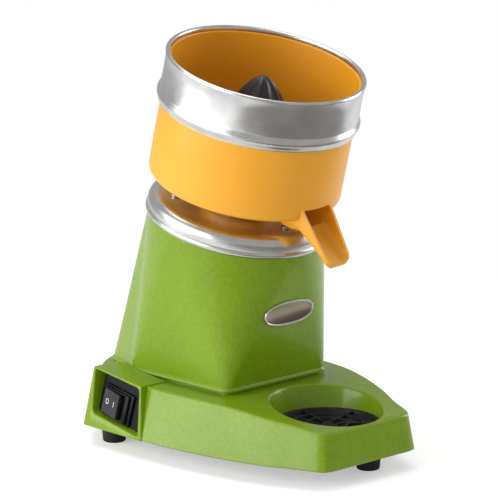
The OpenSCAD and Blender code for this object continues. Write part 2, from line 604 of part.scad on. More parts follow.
module terminal_block() color("beige") translate([block_x, block_y, inner_z]) difference() {
    slab(block_len, block_w, 0, block_h);
    for (i = [-1.5:1.5]) translate([i * block_len / 4, 0, 0]) rod(block_w / 7, block_h / 2, block_h + over);
}
module earth_screw() color("gold") translate([block_x - 0.8 * block_len, block_y - block_w / 3, inner_z]) {
    rod(screw_r, 0, 4 * screw_head_h);
    cylinder(r = screw_head_r, h = screw_head_h, $fn = 6);
}
wire_r = 1.3;
module wire(points) for (i = [0:len(points) - 2]) let (a = points[i], b = points[i + 1], d = b - a) {
    translate(a) rotate([0, acos(d.z / norm(d)), atan2(d.y, d.x)]) cylinder(r = wire_r, h = norm(d), $fn = 32);
    if (i > 0) translate(a) sphere(r = wire_r + gap / 2, $fn = 32);
}
function blade_end(a) = let (up = a * cos(switch_turn), back = body_t + blade_w) [
    panel_x + up * sin(panel_lean) + back * cos(panel_lean) + gap, switch_y - a * sin(switch_turn),
    switch_z + up * cos(panel_lean) - back * sin(panel_lean)];
module switch_leads() color("saddlebrown") for (i = [0, 1]) let (
        b = blade_end(i * body_h / 4), x1 = block_x - block_len / 2 - lead_run, y1 = block_y - (1 - i) * 3 * wire_r)
    wire([b, [x1, b.y, b.z], [x1, y1, b.z],
        [block_x - block_len / 2 - 3 * wire_r, y1, inner_z + block_h / 3 + i * 3 * wire_r],
        [block_x - block_len / 2, y1, inner_z + block_h / 3 + i * 3 * wire_r]]);
lead_y = duct_y + 0.88 * duct_r;  // where the leads pass the hole in the deck
module motor_leads() color("saddlebrown") for (i = [-1, 1]) let (x0 = block_x + i * block_len / 4, x1 = block_x / 3 + 3 * i * wire_r)
    wire([[x0, block_y - block_w / 2, inner_z + block_h / 2], [x0, block_y - block_w / 2 - 3 * wire_r, inner_z + block_h / 2],
        [x0, block_y - block_w, deck_z - 3 * roof],
        [x1, lead_y, deck_z - 2 * roof], [x1, lead_y, foot_z + 1.6 * deck_h / 2]]);

// Bowl with hub, sump and spout
flange_r = boss_r + 3;
hub_z = cap_h + boss_h + gap;        // underside of the hub above the column top
hub_t = 3;
hub_wall = 3.5;
hub_h = 30;                          // hub above the bowl floor
floor_t = 3;
bowl_round = 6;
ledge_h = 12;                        // ledge for the strainer above the bowl floor
ledge_w = 5;
bowl_floor_z = bowl_z + floor_t;
spout_wall = 2.4;
sump_in = 44;                        // inner end of the sump from the axis
sump_mid = 60;
spout_cut_z = 44.7;                  // top of the outlet above the column top
// Sections of the spout: distance from the axis, half width, top, bottom, above the column top
sump_drops = [2, 12, 9.1]; // underside of the sump below the bowl: inner end, middle, at the bowl wall
tip_drops = [20.1, 27.1];  // edge and underside of the spout near its tip, below the bowl
tip_soft = 2;              // rounding of the tip
spout_rise = 1.8;          // top of the spout above its outlet
spout_sections = [[sump_in, spout_w, bowl_z + over, bowl_z - sump_drops[0]],
    [sump_mid, spout_w, bowl_z + over, bowl_z - sump_drops[1]],
    [bowl_r - bowl_t, spout_w, spout_cut_z + spout_rise, bowl_z - sump_drops[2]],
    [spout_reach - tip_soft, lerp(spout_tip_w, spout_w, 0.06), bowl_z - tip_drops[0], bowl_z - tip_drops[1]],
    [spout_reach, spout_tip_w - tip_soft / 2, bowl_z - tip_drops[0] - tip_soft, bowl_z - tip_drops[1] - tip_soft / 2]];
function u_section(f, w, top, low, r) = let (c = min(r, (top - low) * 0.9, w * 0.9)) [for (p = concat(
        [[w, top]], arc([w - c, low + c], c, 0, -90, 5), arc([c - w, low + c], c, -90, -180, 5), [[-w, top]]))
    [p.x, -f, p.y]];
u_round = 9;
module spout_solid() loft([for (i = [len(spout_sections) - 1:-1:0]) let (s = spout_sections[i])
    u_section(s[0], s[1], s[2], s[3], u_round)]);
module spout_hollow() let (w = spout_wall, last = len(spout_sections) - 1, e = spout_sections[last], m = spout_sections[2],
        slope = (spout_sections[3][3] - m[3]) / (spout_sections[3][0] - m[0]))
    loft([for (s = [[spout_reach + 2 * over, spout_tip_w - w, spout_cut_z + 4 * w, e[3] + w + slope * over],
            [bowl_r + w + over, lerp(spout_w, spout_tip_w, 0.1) - w, spout_cut_z + 4 * w, m[3] + w + slope * (w + 2 * over + spout_rise)],
            [bowl_r + w, lerp(spout_w, spout_tip_w, 0.08) - w, spout_cut_z, m[3] + w + slope * (w + over + spout_rise)],
            [m[0], spout_w - w, spout_cut_z, m[3] + w], [sump_mid, spout_w - w, spout_cut_z, bowl_z - sump_drops[1] + w],
            [sump_in + w, spout_w - w, spout_cut_z, bowl_z - sump_drops[0] + w]])
        u_section(s[0], s[1], s[2], s[3], u_round - w)]);
bowl_top = bowl_z + bowl_h;
module bowl() color("orange") on_axis(top_s) rotate([0, 0, bowl_turn]) difference() {
    union() {
        turned(concat([[hub_bore, hub_z], [flange_r, hub_z], [flange_r, hub_z + hub_t], [flange_r + 2 * over, bowl_z]],
            [[bowl_r - bowl_round, bowl_z]], arc([bowl_r - bowl_round, bowl_z + bowl_round], bowl_round, -75, 0, 5),
            [[bowl_r, bowl_top], [bowl_r - bowl_t, bowl_top], [bowl_r - bowl_t, bowl_floor_z + ledge_h],
                [bowl_r - bowl_t - ledge_w, bowl_floor_z + ledge_h - over]],
            arc([bowl_r - bowl_t - ledge_w - bowl_round, bowl_floor_z + bowl_round], bowl_round, 0, -90, 5),
            [[hub_bore + hub_wall + 2 * over, bowl_floor_z], [hub_bore + hub_wall, bowl_floor_z + 2 * over],
                [hub_bore + hub_wall, bowl_floor_z + hub_h - over], [hub_bore + hub_wall - over, bowl_floor_z + hub_h],
                [hub_bore, bowl_floor_z + hub_h]]));
        spout_solid();
    }
    spout_hollow();
    rotate([0, 0, -bowl_turn]) round_ring(2, (boss_r + seal_r) / 2) rod(screw_r + gap, 0, hub_z + peg_h + over);
}
band_bead = 7;       // half height of the bead of the band
band_out = 2.2;      // reach of the band wall past the bowl
bead_out = 5.2;      // reach of the bead past the bowl
roll_r = 2;          // rolled rim of the band
band_up = 3.6;       // part of the band height above the bowl wall
band_low = bowl_top + band_up - band_h;
function band_line(w) = concat(
    [[bowl_r + gap / 2 + w / 2, band_low], [bowl_r + band_out + w / 2, band_low + over]],
    [for (a = [-60:20:60]) [bowl_r + band_out + (bead_out - band_out) * cos(a * 1.5) * (abs(a) < 60 ? 1 : 0) + w, band_low + band_bead * (1 + sin(a))]],
    [[bowl_r + band_out + w, band_low + 2 * band_bead + over], [bowl_r + band_out + w, bowl_top - over]]);
module bowl_band() color("silver") on_axis(top_s) rotate([0, 0, bowl_turn]) turned(concat(
    [for (p = band_line(0)) p],
    arc([bowl_r + band_out + band_t / 2 - roll_r, bowl_top + roll_r], roll_r, -20, 200, 9),
    [for (i = [len(band_line(0)) - 1:-1:1]) band_line(-band_t)[i]],
    [[bowl_r + gap / 2, band_low + over]]));

// Strainer
strain_t = 1;
strain_r = bowl_r - bowl_t - 1;
strain_z = bowl_floor_z + ledge_h + gap;
strain_in = hub_bore + hub_wall + 3 * over;
strain_lip = 12;
module strainer() color("silver") on_axis(top_s) difference() {
    turned([[strain_in, strain_z], [strain_r, strain_z], [strain_r, strain_z + strain_lip], [strain_r - strain_t, strain_z + strain_lip],
        [strain_r - strain_t, strain_z + strain_t], [strain_in + strain_t, strain_z + strain_t],
        [strain_in + strain_t, strain_z + strain_lip / 2], [strain_in, strain_z + strain_lip / 2]]);
    for (k = [0, 1]) round_ring(slot_count, strain_r * (k == 0 ? 0.42 : 0.7), k * 180 / slot_count)
        translate([0, -strain_t * 0.8, strain_z - over]) cube([strain_r / 5, strain_t * 1.6, strain_t + 2 * over]);
}

// Press cone
cone_low = cone_tip_z - cone_h;
cone_shares = [[1, 0], [1.0, 0.06], [0.97, 0.16], [0.9, 0.3], [0.79, 0.46], [0.66, 0.62], [0.51, 0.76], [0.335, 0.88], [0.17, 0.96], [0, 1]];
function cone_profile(grow) = [for (p = cone_shares) [p[0] * (cone_r + grow), cone_low + p[1] * (cone_h + grow * 0.3)]];
rib_out = 2.6;
rib_w = 3.2;
cone_bore_z = cone_low + 0.62 * cone_h;
module press_cone() color("dimgray") on_axis(top_s) difference() {
    union() {
        turned(concat([[0, cone_low]], cone_profile(-rib_out)));
        intersection() {
            turned(concat([[0, cone_low]], cone_profile(0)));
            for (i = [0:rib_count - 1]) rotate([0, 0, i * 360 / rib_count]) translate([0, -rib_w / 2, cone_low]) cube([cone_r, rib_w, cone_h]);
        }
        turned([[cone_r - rib_out - over, cone_low], [cone_r + over, cone_low], [cone_r + over, cone_low + 2 * over], [cone_r - rib_out - over, cone_low + 3 * over]]);
    }
    rod(hub_bore + hub_wall + 2 * over, cone_low - over, bowl_floor_z + hub_h + 2 * over);
    rod(bush_r, cone_low - over, cone_bore_z);
}
bush_r = 9.6;
bush_wall = bush_r - shaft_r;
shaft_top = cone_bore_z - 2 * over;
pin_up = 7;          // drive pin above the hub of the bowl
pin_z = bowl_floor_z + hub_h + pin_up;
pin_r = 2;
pin_len = 17;
module cone_bush() color("goldenrod") on_axis(top_s) difference() {
    rod(bush_r, bowl_floor_z + hub_h + 2 * over, cone_bore_z);
    rod(shaft_r + run, 0, shaft_top + gap);
    translate([-bush_r - over, -pin_r - gap, bowl_floor_z + hub_h]) cube([2 * (bush_r + over), 2 * (pin_r + gap), pin_z + pin_r + gap - bowl_floor_z - hub_h]);
}
module drive_pin() color("silver") on_axis(top_s + pin_z) rotate([0, 90, 0]) rod(pin_r, -pin_len / 2, pin_len / 2);

// Motor, hung below the top plate; heights run down from the column top
shield_top = -top_plate;
shield_t = 6;
shield_wall = 2.5;
end_space = 16;      // room for the coil ends
core_top = shield_top - shield_t - end_space;
core_low = core_top - core_len;
shield_low = core_low - end_space - shield_t;
bearing_r = 13;
bearing_h = 8;
bearing_seat = 3;    // lower bearing above the face of its shield
bolt_ring = stator_r + 5;
ear_r = 4.4;
tie_r = 2;
tie_head_h = 3;
fan_z = shield_low - bearing_h;
fan_h = 9;
fan_r = 36;
fan_hub_r = 11;
module motor_shaft() color("silver") on_axis(top_s) difference() {
    rod(shaft_r, fan_z - fan_h - 2 * over, shaft_top);
    translate([0, 0, pin_z]) rotate([0, 90, 0]) rod(pin_r, -2 * shaft_r, 2 * shaft_r);
}
module rotor_core() color("gray") on_axis(top_s) {
    tube(rotor_r, shaft_r, core_low, core_top);
    tube(rotor_r - 2 * over, rotor_r - 6 * over, core_low - wall, core_low);
    tube(rotor_r - 2 * over, rotor_r - 6 * over, core_top, core_top + wall);
}
module cooling_fan() color("dimgray") on_axis(top_s + fan_z) {
    tube(fan_hub_r, shaft_r, -fan_h, 0);
    tube(fan_r, fan_hub_r - over, -2 * over, -over);
    for (i = [0:8]) rotate([0, 0, i * 40]) translate([fan_hub_r - over, -over / 2, -fan_h]) cube([fan_r - fan_hub_r, over, fan_h - over]);
}
air_gap = 0.5;
module stator_core() color("gray") on_axis(top_s) difference() {
    rod_big(stator_r, core_low, core_top);
    rod_big(rotor_r + air_gap, core_low - over, core_top + over);
    for (i = [0:11]) rotate([0, 0, i * 30]) translate([rotor_r, -over, core_low - over]) cube([wall, 2 * over, core_len + 2 * over]);
}
module rod_big(r, z0, z1) translate([0, 0, z0]) cylinder(r = r, h = z1 - z0, $fn = 96);
coil_h = 11;
module stator_windings() color("peru") on_axis(top_s) for (z = [core_low - coil_h, core_top])
    turned([for (p = concat(arc([stator_r - 8, z + coil_h / 2], coil_h / 2, -80, 80, 6), arc([rotor_r + 10, z + coil_h / 2], coil_h / 2, 100, 260, 6)))
        [p.x, max(z, min(z + coil_h, p.y))]]);
rim_lap = 8;         // how far each shield laps the core
module upper_shield() color("silver") on_axis(top_s) difference() {
    union() {
        rod_big(stator_r + shield_wall, core_top - rim_lap, shield_top);
        round_ring(4, bolt_ring, 45) rod(ear_r, core_top - rim_lap, shield_top - over);
        rod_big(pilot_r - run, shield_top - over, 0);
    }
    rod_big(stator_r, core_top - rim_lap - over, shield_top - shield_t);
    rod(bearing_r, shield_top - shield_t - over, shield_top - shield_t + bearing_h);
    rod(shaft_r + 2 * over, shield_top - over, over);
    round_ring(4, bolt_ring, 45) rod(tie_r, core_top - rim_lap - over, shield_top - shield_t / 2);
    round_ring(4, motor_screw_ring) rod(bolt_pilot, shield_top - shield_t - over, shield_top + over);
}
module lower_shield() color("silver") on_axis(top_s) difference() {
    union() {
        rod_big(stator_r + shield_wall, shield_low, core_low + rim_lap);
        round_ring(4, bolt_ring, 45) rod(ear_r, shield_low, core_low + rim_lap);
    }
    rod_big(stator_r, shield_low + shield_t, core_low + rim_lap + over);
    rod(bearing_r, shield_low + shield_t - bearing_h + bearing_seat, shield_low + shield_t + over);
    rod(shaft_r + 2 * over, shield_low - over, shield_low + shield_t);
    round_ring(4, bolt_ring, 45) rod(tie_r + gap, shield_low - over, core_low + rim_lap + over);
    round_ring(6, (stator_r + fan_hub_r) / 2, 15) rod(wall, shield_low - over, shield_low + shield_t + over);
}
module bearing(z0) tube(bearing_r, shaft_r + run, z0, z0 + bearing_h);
module upper_bearing() color("lightgray") on_axis(top_s) bearing(shield_top - shield_t);
module lower_bearing() color("lightgray") on_axis(top_s) bearing(shield_low + shield_t - bearing_h + bearing_seat);
module tie_bolts() color("silver") on_axis(top_s) round_ring(4, bolt_ring, 45) {
    rod(tie_r - run, shield_low, shield_top - shield_t / 2 - over);
    translate([0, 0, shield_low - tie_head_h]) cylinder(r = ear_r, h = tie_head_h, $fn = 6);
}
module motor_screws() color("silver") on_axis(top_s) round_ring(4, motor_screw_ring) {
    rod(bolt_pilot - run, shield_top - shield_t, bolt_head_h);
    rod(bolt_head_r, 0, bolt_head_h);
}

base_casting();
column_casting();
motor_cap();
cap_screws();
bowl_pegs();
shaft_seal();
bottom_cover();
foot_front();
foot_rear_left();
foot_rear_right();
foot_screws();
column_bolts();
cup_tray();
badge_plate();
switch_panel();
switch_frame();
switch_body();
switch_rocker();
cable_gland();
gland_nut();
capacitor();
capacitor_clip();
terminal_block();
earth_screw();
switch_leads();
motor_leads();
bowl();
bowl_band();
strainer();
press_cone();
cone_bush();
drive_pin();
motor_shaft();
rotor_core();
cooling_fan();
stator_core();
stator_windings();
upper_shield();
lower_shield();
upper_bearing();
lower_bearing();
tie_bolts();
motor_screws();
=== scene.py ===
import json
from math import acos, atan2, cos, pi, radians, sin, tan

import bmesh
import bpy
from mathutils import Matrix, Vector


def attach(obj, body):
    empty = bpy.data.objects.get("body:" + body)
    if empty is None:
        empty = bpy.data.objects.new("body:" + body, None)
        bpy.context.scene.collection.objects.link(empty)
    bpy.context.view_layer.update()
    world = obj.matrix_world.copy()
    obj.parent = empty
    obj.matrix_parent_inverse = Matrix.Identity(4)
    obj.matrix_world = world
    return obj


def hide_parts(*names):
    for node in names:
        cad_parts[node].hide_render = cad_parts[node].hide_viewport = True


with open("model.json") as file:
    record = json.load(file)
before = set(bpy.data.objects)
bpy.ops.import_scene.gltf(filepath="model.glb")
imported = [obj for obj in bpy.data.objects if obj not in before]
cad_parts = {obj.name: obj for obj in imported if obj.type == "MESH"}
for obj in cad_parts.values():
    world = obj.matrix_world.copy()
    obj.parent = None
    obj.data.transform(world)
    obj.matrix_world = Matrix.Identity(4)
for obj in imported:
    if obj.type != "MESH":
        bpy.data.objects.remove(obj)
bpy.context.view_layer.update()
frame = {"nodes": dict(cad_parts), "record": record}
nodes = frame["nodes"]
slotOf = {part["node"]: part["material_slot"] for part in frame["record"]["subparts"]}
print("citrus press:", len(nodes), "nodes loaded")

mm = 0.001
stance = {
    "lean": radians(14.7),        # motor and bowl axis toward the front
    "axisY": 60,                  # where that axis meets the ground
    "columnTop": 198,             # along the axis
    "bowlTurn": radians(5),       # spout a little to the right of the front
}
axisFoot = Vector((0, stance["axisY"] * mm, 0))
axisUp = Vector((0, -sin(stance["lean"]), cos(stance["lean"])))
axisFront = Vector((0, -cos(stance["lean"]), -sin(stance["lean"])))
axisSide = Vector((1, 0, 0))


def clearSelection():
    if bpy.context.object and bpy.context.object.mode != "OBJECT":
        bpy.ops.object.mode_set(mode="OBJECT")
    bpy.ops.object.select_all(action="DESELECT")


def pick(piece):
    clearSelection()
    piece.select_set(True)
    bpy.context.view_layer.objects.active = piece


def editAll(piece, mode="VERT"):
    pick(piece)
    bpy.ops.object.mode_set(mode="EDIT")
    bpy.ops.mesh.select_mode(type=mode)
    bpy.ops.mesh.select_all(action="SELECT")


def closeUp(piece, gap=1e-6):
    editAll(piece)
    bpy.ops.mesh.remove_doubles(threshold=gap)
    bpy.ops.mesh.normals_make_consistent(inside=False)
    bpy.ops.object.mode_set(mode="OBJECT")


def ringOf(name, points):
    clearSelection()
    bpy.ops.mesh.primitive_circle_add(vertices=len(points), radius=mm)
    piece = bpy.context.object
    piece.name = piece.data.name = name
    for vertex, point in zip(piece.data.vertices, points):
        vertex.co = point
    return piece


def loft(name, rings):            # a ring, extruded and put in place again for each next ring
    piece = ringOf(name, [Vector(p) * mm for p in rings[0]])
    editAll(piece, "EDGE")
    shape = bmesh.from_edit_mesh(piece.data)
    shape.verts.ensure_lookup_table()
    places = {tuple(v.co): i for i, v in enumerate(shape.verts)}
    for ring in rings[1:]:
        bpy.ops.mesh.extrude_edges_move()
        shape = bmesh.from_edit_mesh(piece.data)
        fresh = {}
        for vertex in shape.verts:
            if vertex.select:
                i = places[tuple(vertex.co)]
                vertex.co = Vector(ring[i]) * mm
                fresh[tuple(vertex.co)] = i
        places = fresh
        bmesh.update_edit_mesh(piece.data)
    bpy.ops.mesh.edge_face_add()
    bpy.ops.mesh.select_all(action="DESELECT")
    bpy.ops.mesh.select_mode(type="EDGE")
    bpy.ops.mesh.select_non_manifold()
    bpy.ops.mesh.edge_face_add()
    closeUp(piece)
    return piece


def turned(name, corners, foot=axisFoot, up=axisUp, out=axisSide, steps=192, base=0):
    # section of (radius, height, cut back of the corner), rounded and spun once round
    spots = [foot + mm * ((c[1] + base) * up + c[0] * out) for c in corners]
    piece = ringOf(name, spots)
    editAll(piece)
    bpy.ops.mesh.edge_face_add()
    for corner, spot in zip(corners, spots):
        if len(corner) > 2:
            bpy.ops.mesh.select_all(action="DESELECT")
            shape = bmesh.from_edit_mesh(piece.data)
            for vertex in shape.verts:
                vertex.select = (vertex.co - spot).length < 2e-6
            shape.select_flush(True)
            bmesh.update_edit_mesh(piece.data)
            bpy.ops.mesh.bevel(offset=corner[2] * mm, segments=max(3, min(10, int(4 + corner[2]))),
                               affect="VERTICES", clamp_overlap=False)
    bpy.ops.mesh.select_all(action="SELECT")
    bpy.ops.mesh.delete(type="ONLY_FACE")
    bpy.ops.mesh.select_all(action="SELECT")
    bpy.ops.mesh.spin(steps=steps, angle=2 * pi, center=foot, axis=up)
    closeUp(piece)
    return piece


def combine(piece, other, way):   # UNION or DIFFERENCE, and the other one is used up
    pick(piece)
    step = piece.modifiers.new("combine", "BOOLEAN")
    step.operation, step.solver, step.object = way, "EXACT", other
    bpy.ops.object.modifier_apply(modifier=step.name)
    bpy.data.objects.remove(other)
    return piece


def softEdges(piece, width, steps=2, angle=40):
    pick(piece)
    step = piece.modifiers.new("edges", "BEVEL")
    step.width, step.segments, step.limit_method = width * mm, steps, "ANGLE"
    step.angle_limit, step.harden_normals, step.miter_outer = radians(angle), False, "MITER_ARC"
    bpy.ops.object.modifier_apply(modifier=step.name)
    return piece


def block(name, low, high, turn=None):        # cut to size from a cube
    clearSelection()
    low, high = Vector(low) * mm, Vector(high) * mm
    bpy.ops.mesh.primitive_cube_add(size=1)
    piece = bpy.context.object
    piece.name = piece.data.name = name
    for vertex in piece.data.vertices:
        corner = Vector([high[k] if vertex.co[k] > 0 else low[k] for k in range(3)])
        vertex.co = turn @ corner if turn else corner
    return piece


def plug(name, x, y, low, high, radius, steps=48):
    return loft(name, [[(x + radius * cos(a), y + radius * sin(a), z)
                        for a in [2 * pi * i / steps for i in range(steps)]] for z in (low, high)])


def settle(piece, body, slot, finish, *cadNodes, angle=30):
    pick(piece)
    bpy.ops.object.shade_smooth_by_angle(angle=radians(angle))
    piece.data.materials.clear()
    piece.data.materials.append(finish)
    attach(piece, body)
    if cadNodes:
        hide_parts(*cadNodes)
    print("  made", piece.name, len(piece.data.polygons), "faces")
    return piece


class Field:                      # a socket that takes part in sums
    def __init__(self, tree, socket=None):
        self.tree, self.socket = tree, socket

    def node(self, kind, settings=None, sockets=None, out=0):
        made = self.tree.nodes.new("ShaderNode" + kind)
        for key, value in (settings or {}).items():
            if key == "stops":
                ramp = made.color_ramp.elements
                while len(ramp) < len(value):
                    ramp.new(0.5)
                for stop, (place, shade) in zip(ramp, value):
                    stop.position, stop.color = place, shade
            else:
                setattr(made, key, value)
        for key, value in (sockets or {}).items():
            if isinstance(value, Field):
                self.tree.links.new(value.socket, made.inputs[key])
            else:
                made.inputs[key].default_value = value
        return Field(self.tree, made.outputs[out])

    def sums(self, operation, first, second):
        return self.node("Math", {"operation": operation}, {0: first, 1: second})

    def __add__(self, other):
        return self.sums("ADD", self, other)

    def __radd__(self, other):
        return self.sums("ADD", other, self)

    def __sub__(self, other):
        return self.sums("SUBTRACT", self, other)

    def __rsub__(self, other):
        return self.sums("SUBTRACT", other, self)

    def __mul__(self, other):
        return self.sums("MULTIPLY", self, other)

    def __rmul__(self, other):
        return self.sums("MULTIPLY", other, self)


def tint(red, green, blue):       # screen colour to scene colour
    return tuple(((v / 255 + 0.055) / 1.055) ** 2.4 if v > 10 else v / 3294.6
                 for v in (red, green, blue)) + (1,)


def blended(amount, first, second):
    return amount.node("Mix", {"data_type": "RGBA"}, {0: amount, 6: first, 7: second}, 2)


def cloud(place, scale, detail=3.0, rough=0.5):
    return place.node("TexNoise", None, {"Vector": place, "Scale": scale, "Detail": detail,
                                         "Roughness": rough})


def span(value, low, high):       # 0 below low, 1 above high, soft between
    return value.node("MapRange", {"interpolation_type": "SMOOTHSTEP"}, {0: value, 1: low, 2: high})


def wave(value):
    return value.node("Math", {"operation": "SINE"}, {0: value})


def bumped(height, strength, distance):
    return height.node("Bump", None, {"Height": height, "Strength": strength, "Distance": distance * mm})


def newFinish(name, build, **fixed):          # build gets the object place and returns what varies
    finish = bpy.data.materials.new(name)
    finish.use_nodes = True
    tree = finish.node_tree
    tree.nodes.clear()
    shader = tree.nodes.new("ShaderNodeBsdfPrincipled")
    ending = tree.nodes.new("ShaderNodeOutputMaterial")
    tree.links.new(shader.outputs[0], ending.inputs["Surface"])
    for key, value in fixed.items():
        shader.inputs[key.replace("_", " ")].default_value = value
    place = Field(tree).node("TexCoord", None, None, "Object")
    for key, value in build(place).items():
        key = key.replace("_", " ")
        if isinstance(value, Field):
            tree.links.new(value.socket, shader.inputs[key])
        else:
            shader.inputs[key].default_value = value
    return finish


def alongAxis(place):             # height along the leaning axis, and distance from it, in metres
    moved = place.node("VectorMath", {"operation": "SUBTRACT"}, {0: place, 1: tuple(axisFoot)})
    height = place.node("VectorMath", {"operation": "DOT_PRODUCT"}, {0: moved, 1: tuple(axisUp)}, "Value")
    rise = place.node("VectorMath", {"operation": "SCALE"}, {0: tuple(axisUp), "Scale": height})
    away = place.node("VectorMath", {"operation": "SUBTRACT"}, {0: moved, 1: rise})
    return height, place.node("VectorMath", {"operation": "LENGTH"}, {0: away}, "Value")


def rings(value, scale, detail=2.0):          # fine lines along one value
    line = value.node("CombineXYZ", None, {0: value})
    return value.node("TexNoise", None, {"Vector": line, "Scale": scale, "Detail": detail})


def enamel(place):                # stoved gloss enamel over sand-cast alloy
    peel = cloud(place, 340, 2) + 0.6 * cloud(place, 760, 2)
    waves = cloud(place, 42, 2)
    colour = blended(span(cloud(place, 14, 3), 0.35, 0.7), tint(122, 154, 12), tint(130, 161, 22))
    pits = span(cloud(place, 1100, 2), 0.66, 0.76)
    # painted shade: the green turns darker where the peel relief stands high, standing in for the mottled
    # light and shade on the orange peel
    peel_shade = span(peel, 0.62, 0.98)
    return {
        "Base_Color": blended(pits * 0.45 + peel_shade * 0.28, colour, tint(92, 124, 4)),
        "Roughness": 0.20 + 0.10 * cloud(place, 160, 2) + 0.10 * pits,
        "Normal": bumped(peel + 1.8 * waves - 0.5 * pits, 0.62, 0.26),
    }


def polished(place):              # turned and buffed alloy
    height, away = alongAxis(place)
    lines = rings(height + 0.6 * away, 2600, 3)
    smear = cloud(place, 35, 3)
    colour = blended(span(cloud(place, 60, 3), 0.3, 0.75), tint(206, 206, 207), tint(224, 223, 221))
    return {
        "Base_Color": colour,
        "Roughness": 0.17 + 0.10 * smear + 0.08 * lines,
        "Normal": bumped(lines + 0.5 * cloud(place, 90, 2), 0.05, 0.05),
    }


def castAlloy(place):
    grain = cloud(place, 900, 3)
    return {"Base_Color": blended(span(grain, 0.3, 0.7), tint(168, 168, 166), tint(192, 192, 190)),
            "Roughness": 0.38 + 0.14 * grain, "Normal": bumped(grain, 0.3, 0.2)}


def zincPlate(place):
    stain = span(cloud(place, 120, 4), 0.35, 0.7)
    return {"Base_Color": blended(stain, tint(178, 180, 178), tint(196, 196, 190)),
            "Roughness": 0.30 + 0.16 * stain, "Normal": bumped(cloud(place, 1300, 2), 0.15, 0.1)}


def brushedSteel(place):
    parts = place.node("SeparateXYZ", None, {0: place}, 0)
    lines = rings(parts, 3000, 3)
    return {"Base_Color": blended(span(cloud(place, 50, 3), 0.3, 0.7), tint(196, 196, 194),
                                  tint(210, 209, 206)),
            "Roughness": 0.24 + 0.14 * lines, "Normal": bumped(lines, 0.12, 0.08)}


def laminations(place):           # stacked sheet edges
    height, away = alongAxis(place)
    sheets = wave(height * 6283.2)
    return {"Base_Color": blended(span(sheets, -0.6, 0.8), tint(62, 62, 66), tint(112, 112, 116)),
            "Roughness": 0.42 + 0.12 * cloud(place, 300, 2), "Normal": bumped(sheets, 0.4, 0.15)}


def rubber(place):
    grain = cloud(place, 1100, 3)
    dust = span(cloud(place, 70, 4), 0.5, 0.85)
    return {"Base_Color": blended(dust, tint(24, 23, 29), tint(44, 43, 48)),
            "Roughness": 0.48 + 0.16 * grain, "Normal": bumped(grain, 0.25, 0.12)}


def glossBlack(place):
    grain = cloud(place, 1500, 2)
    return {"Base_Color": blended(span(cloud(place, 40, 3), 0.4, 0.8), tint(13, 13, 17), tint(20, 20, 25)),
            "Roughness": 0.24 + 0.10 * cloud(place, 200, 2), "Normal": bumped(grain, 0.10, 0.06)}


def greyKey(place):
    grain = cloud(place, 1800, 2)
    return {"Base_Color": blended(span(grain, 0.3, 0.7), tint(40, 40, 45), tint(50, 50, 56)),
            "Roughness": 0.36 + 0.12 * grain, "Normal": bumped(grain, 0.2, 0.08)}


def bowlPlastic(place):           # moulded, a little deeper where the light doesn't reach
    flow = span(cloud(place, 9, 3), 0.3, 0.75)
    grain = cloud(place, 1300, 2)
    return {"Base_Color": blended(flow, tint(241, 166, 30), tint(245, 173, 40)),
            "Roughness": 0.30 + 0.07 * cloud(place, 90, 2) + 0.04 * grain,
            "Normal": bumped(grain + 3 * cloud(place, 30, 2), 0.06, 0.08)}


def conePlastic(place):
    grain = cloud(place, 1200, 2)
    return {"Base_Color": blended(span(cloud(place, 60, 3), 0.35, 0.7), tint(34, 29, 39), tint(44, 38, 50)),
            "Roughness": 0.30 + 0.10 * grain, "Normal": bumped(grain, 0.12, 0.08)}


def bronzeBush(place):
    pores = span(cloud(place, 2600, 2), 0.55, 0.7)
    return {"Base_Color": blended(pores, tint(176, 136, 82), tint(120, 88, 50)),
            "Roughness": 0.36 + 0.2 * pores, "Normal": bumped(1 - pores, 0.3, 0.08)}


def windingWire(place):           # enamelled wire lying in turns
    height, away = alongAxis(place)
    turns = wave(away * 5236.0) + wave(height * 5236.0)
    return {"Base_Color": blended(span(turns, -1.2, 1.4), tint(104, 46, 20), tint(198, 112, 62)),
            "Roughness": 0.30 + 0.1 * cloud(place, 300, 2), "Normal": bumped(turns, 0.7, 0.5)}


def brownSleeve(place):
    return {"Base_Color": blended(span(cloud(place, 200, 3), 0.3, 0.7), tint(92, 50, 26),
                                  tint(112, 64, 36)),
            "Roughness": 0.45 + 0.1 * cloud(place, 900, 2),
            "Normal": bumped(cloud(place, 900, 2), 0.15, 0.1)}


def paleMoulding(place):
    return {"Base_Color": blended(span(cloud(place, 80, 3), 0.3, 0.7), tint(226, 224, 214),
                                  tint(236, 235, 228)),
            "Roughness": 0.40 + 0.1 * cloud(place, 500, 2),
            "Normal": bumped(cloud(place, 900, 2), 0.12, 0.08)}


def darkMoulding(place):
    return {"Base_Color": blended(span(cloud(place, 90, 3), 0.35, 0.7), tint(30, 30, 33), tint(44, 44, 48)),
            "Roughness": 0.42 + 0.12 * cloud(place, 700, 2),
            "Normal": bumped(cloud(place, 1400, 2), 0.2, 0.08)}


def plainBrass(place):
    stain = span(cloud(place, 150, 4), 0.4, 0.75)
    return {"Base_Color": blended(stain, tint(206, 172, 98), tint(168, 130, 66)),
            "Roughness": 0.26 + 0.18 * stain, "Normal": bumped(cloud(place, 1500, 2), 0.12, 0.08)}


def badgeField(place):            # satin nickel, blank, with painted shade in dark brown at the bottom and painted light towards the top
    parts = place.node("SeparateXYZ", None, {0: place}, 2)
    lines = rings(parts, 3400, 3)
    # painted shade low on the plate and painted light high on it, graded by height
    shade = span(parts, 0.113, 0.134)
    return {"Base_Color": blended(shade, tint(112, 92, 80), tint(196, 184, 172)),
            "Roughness": 0.26 + 0.12 * lines, "Normal": bumped(lines, 0.10, 0.05)}


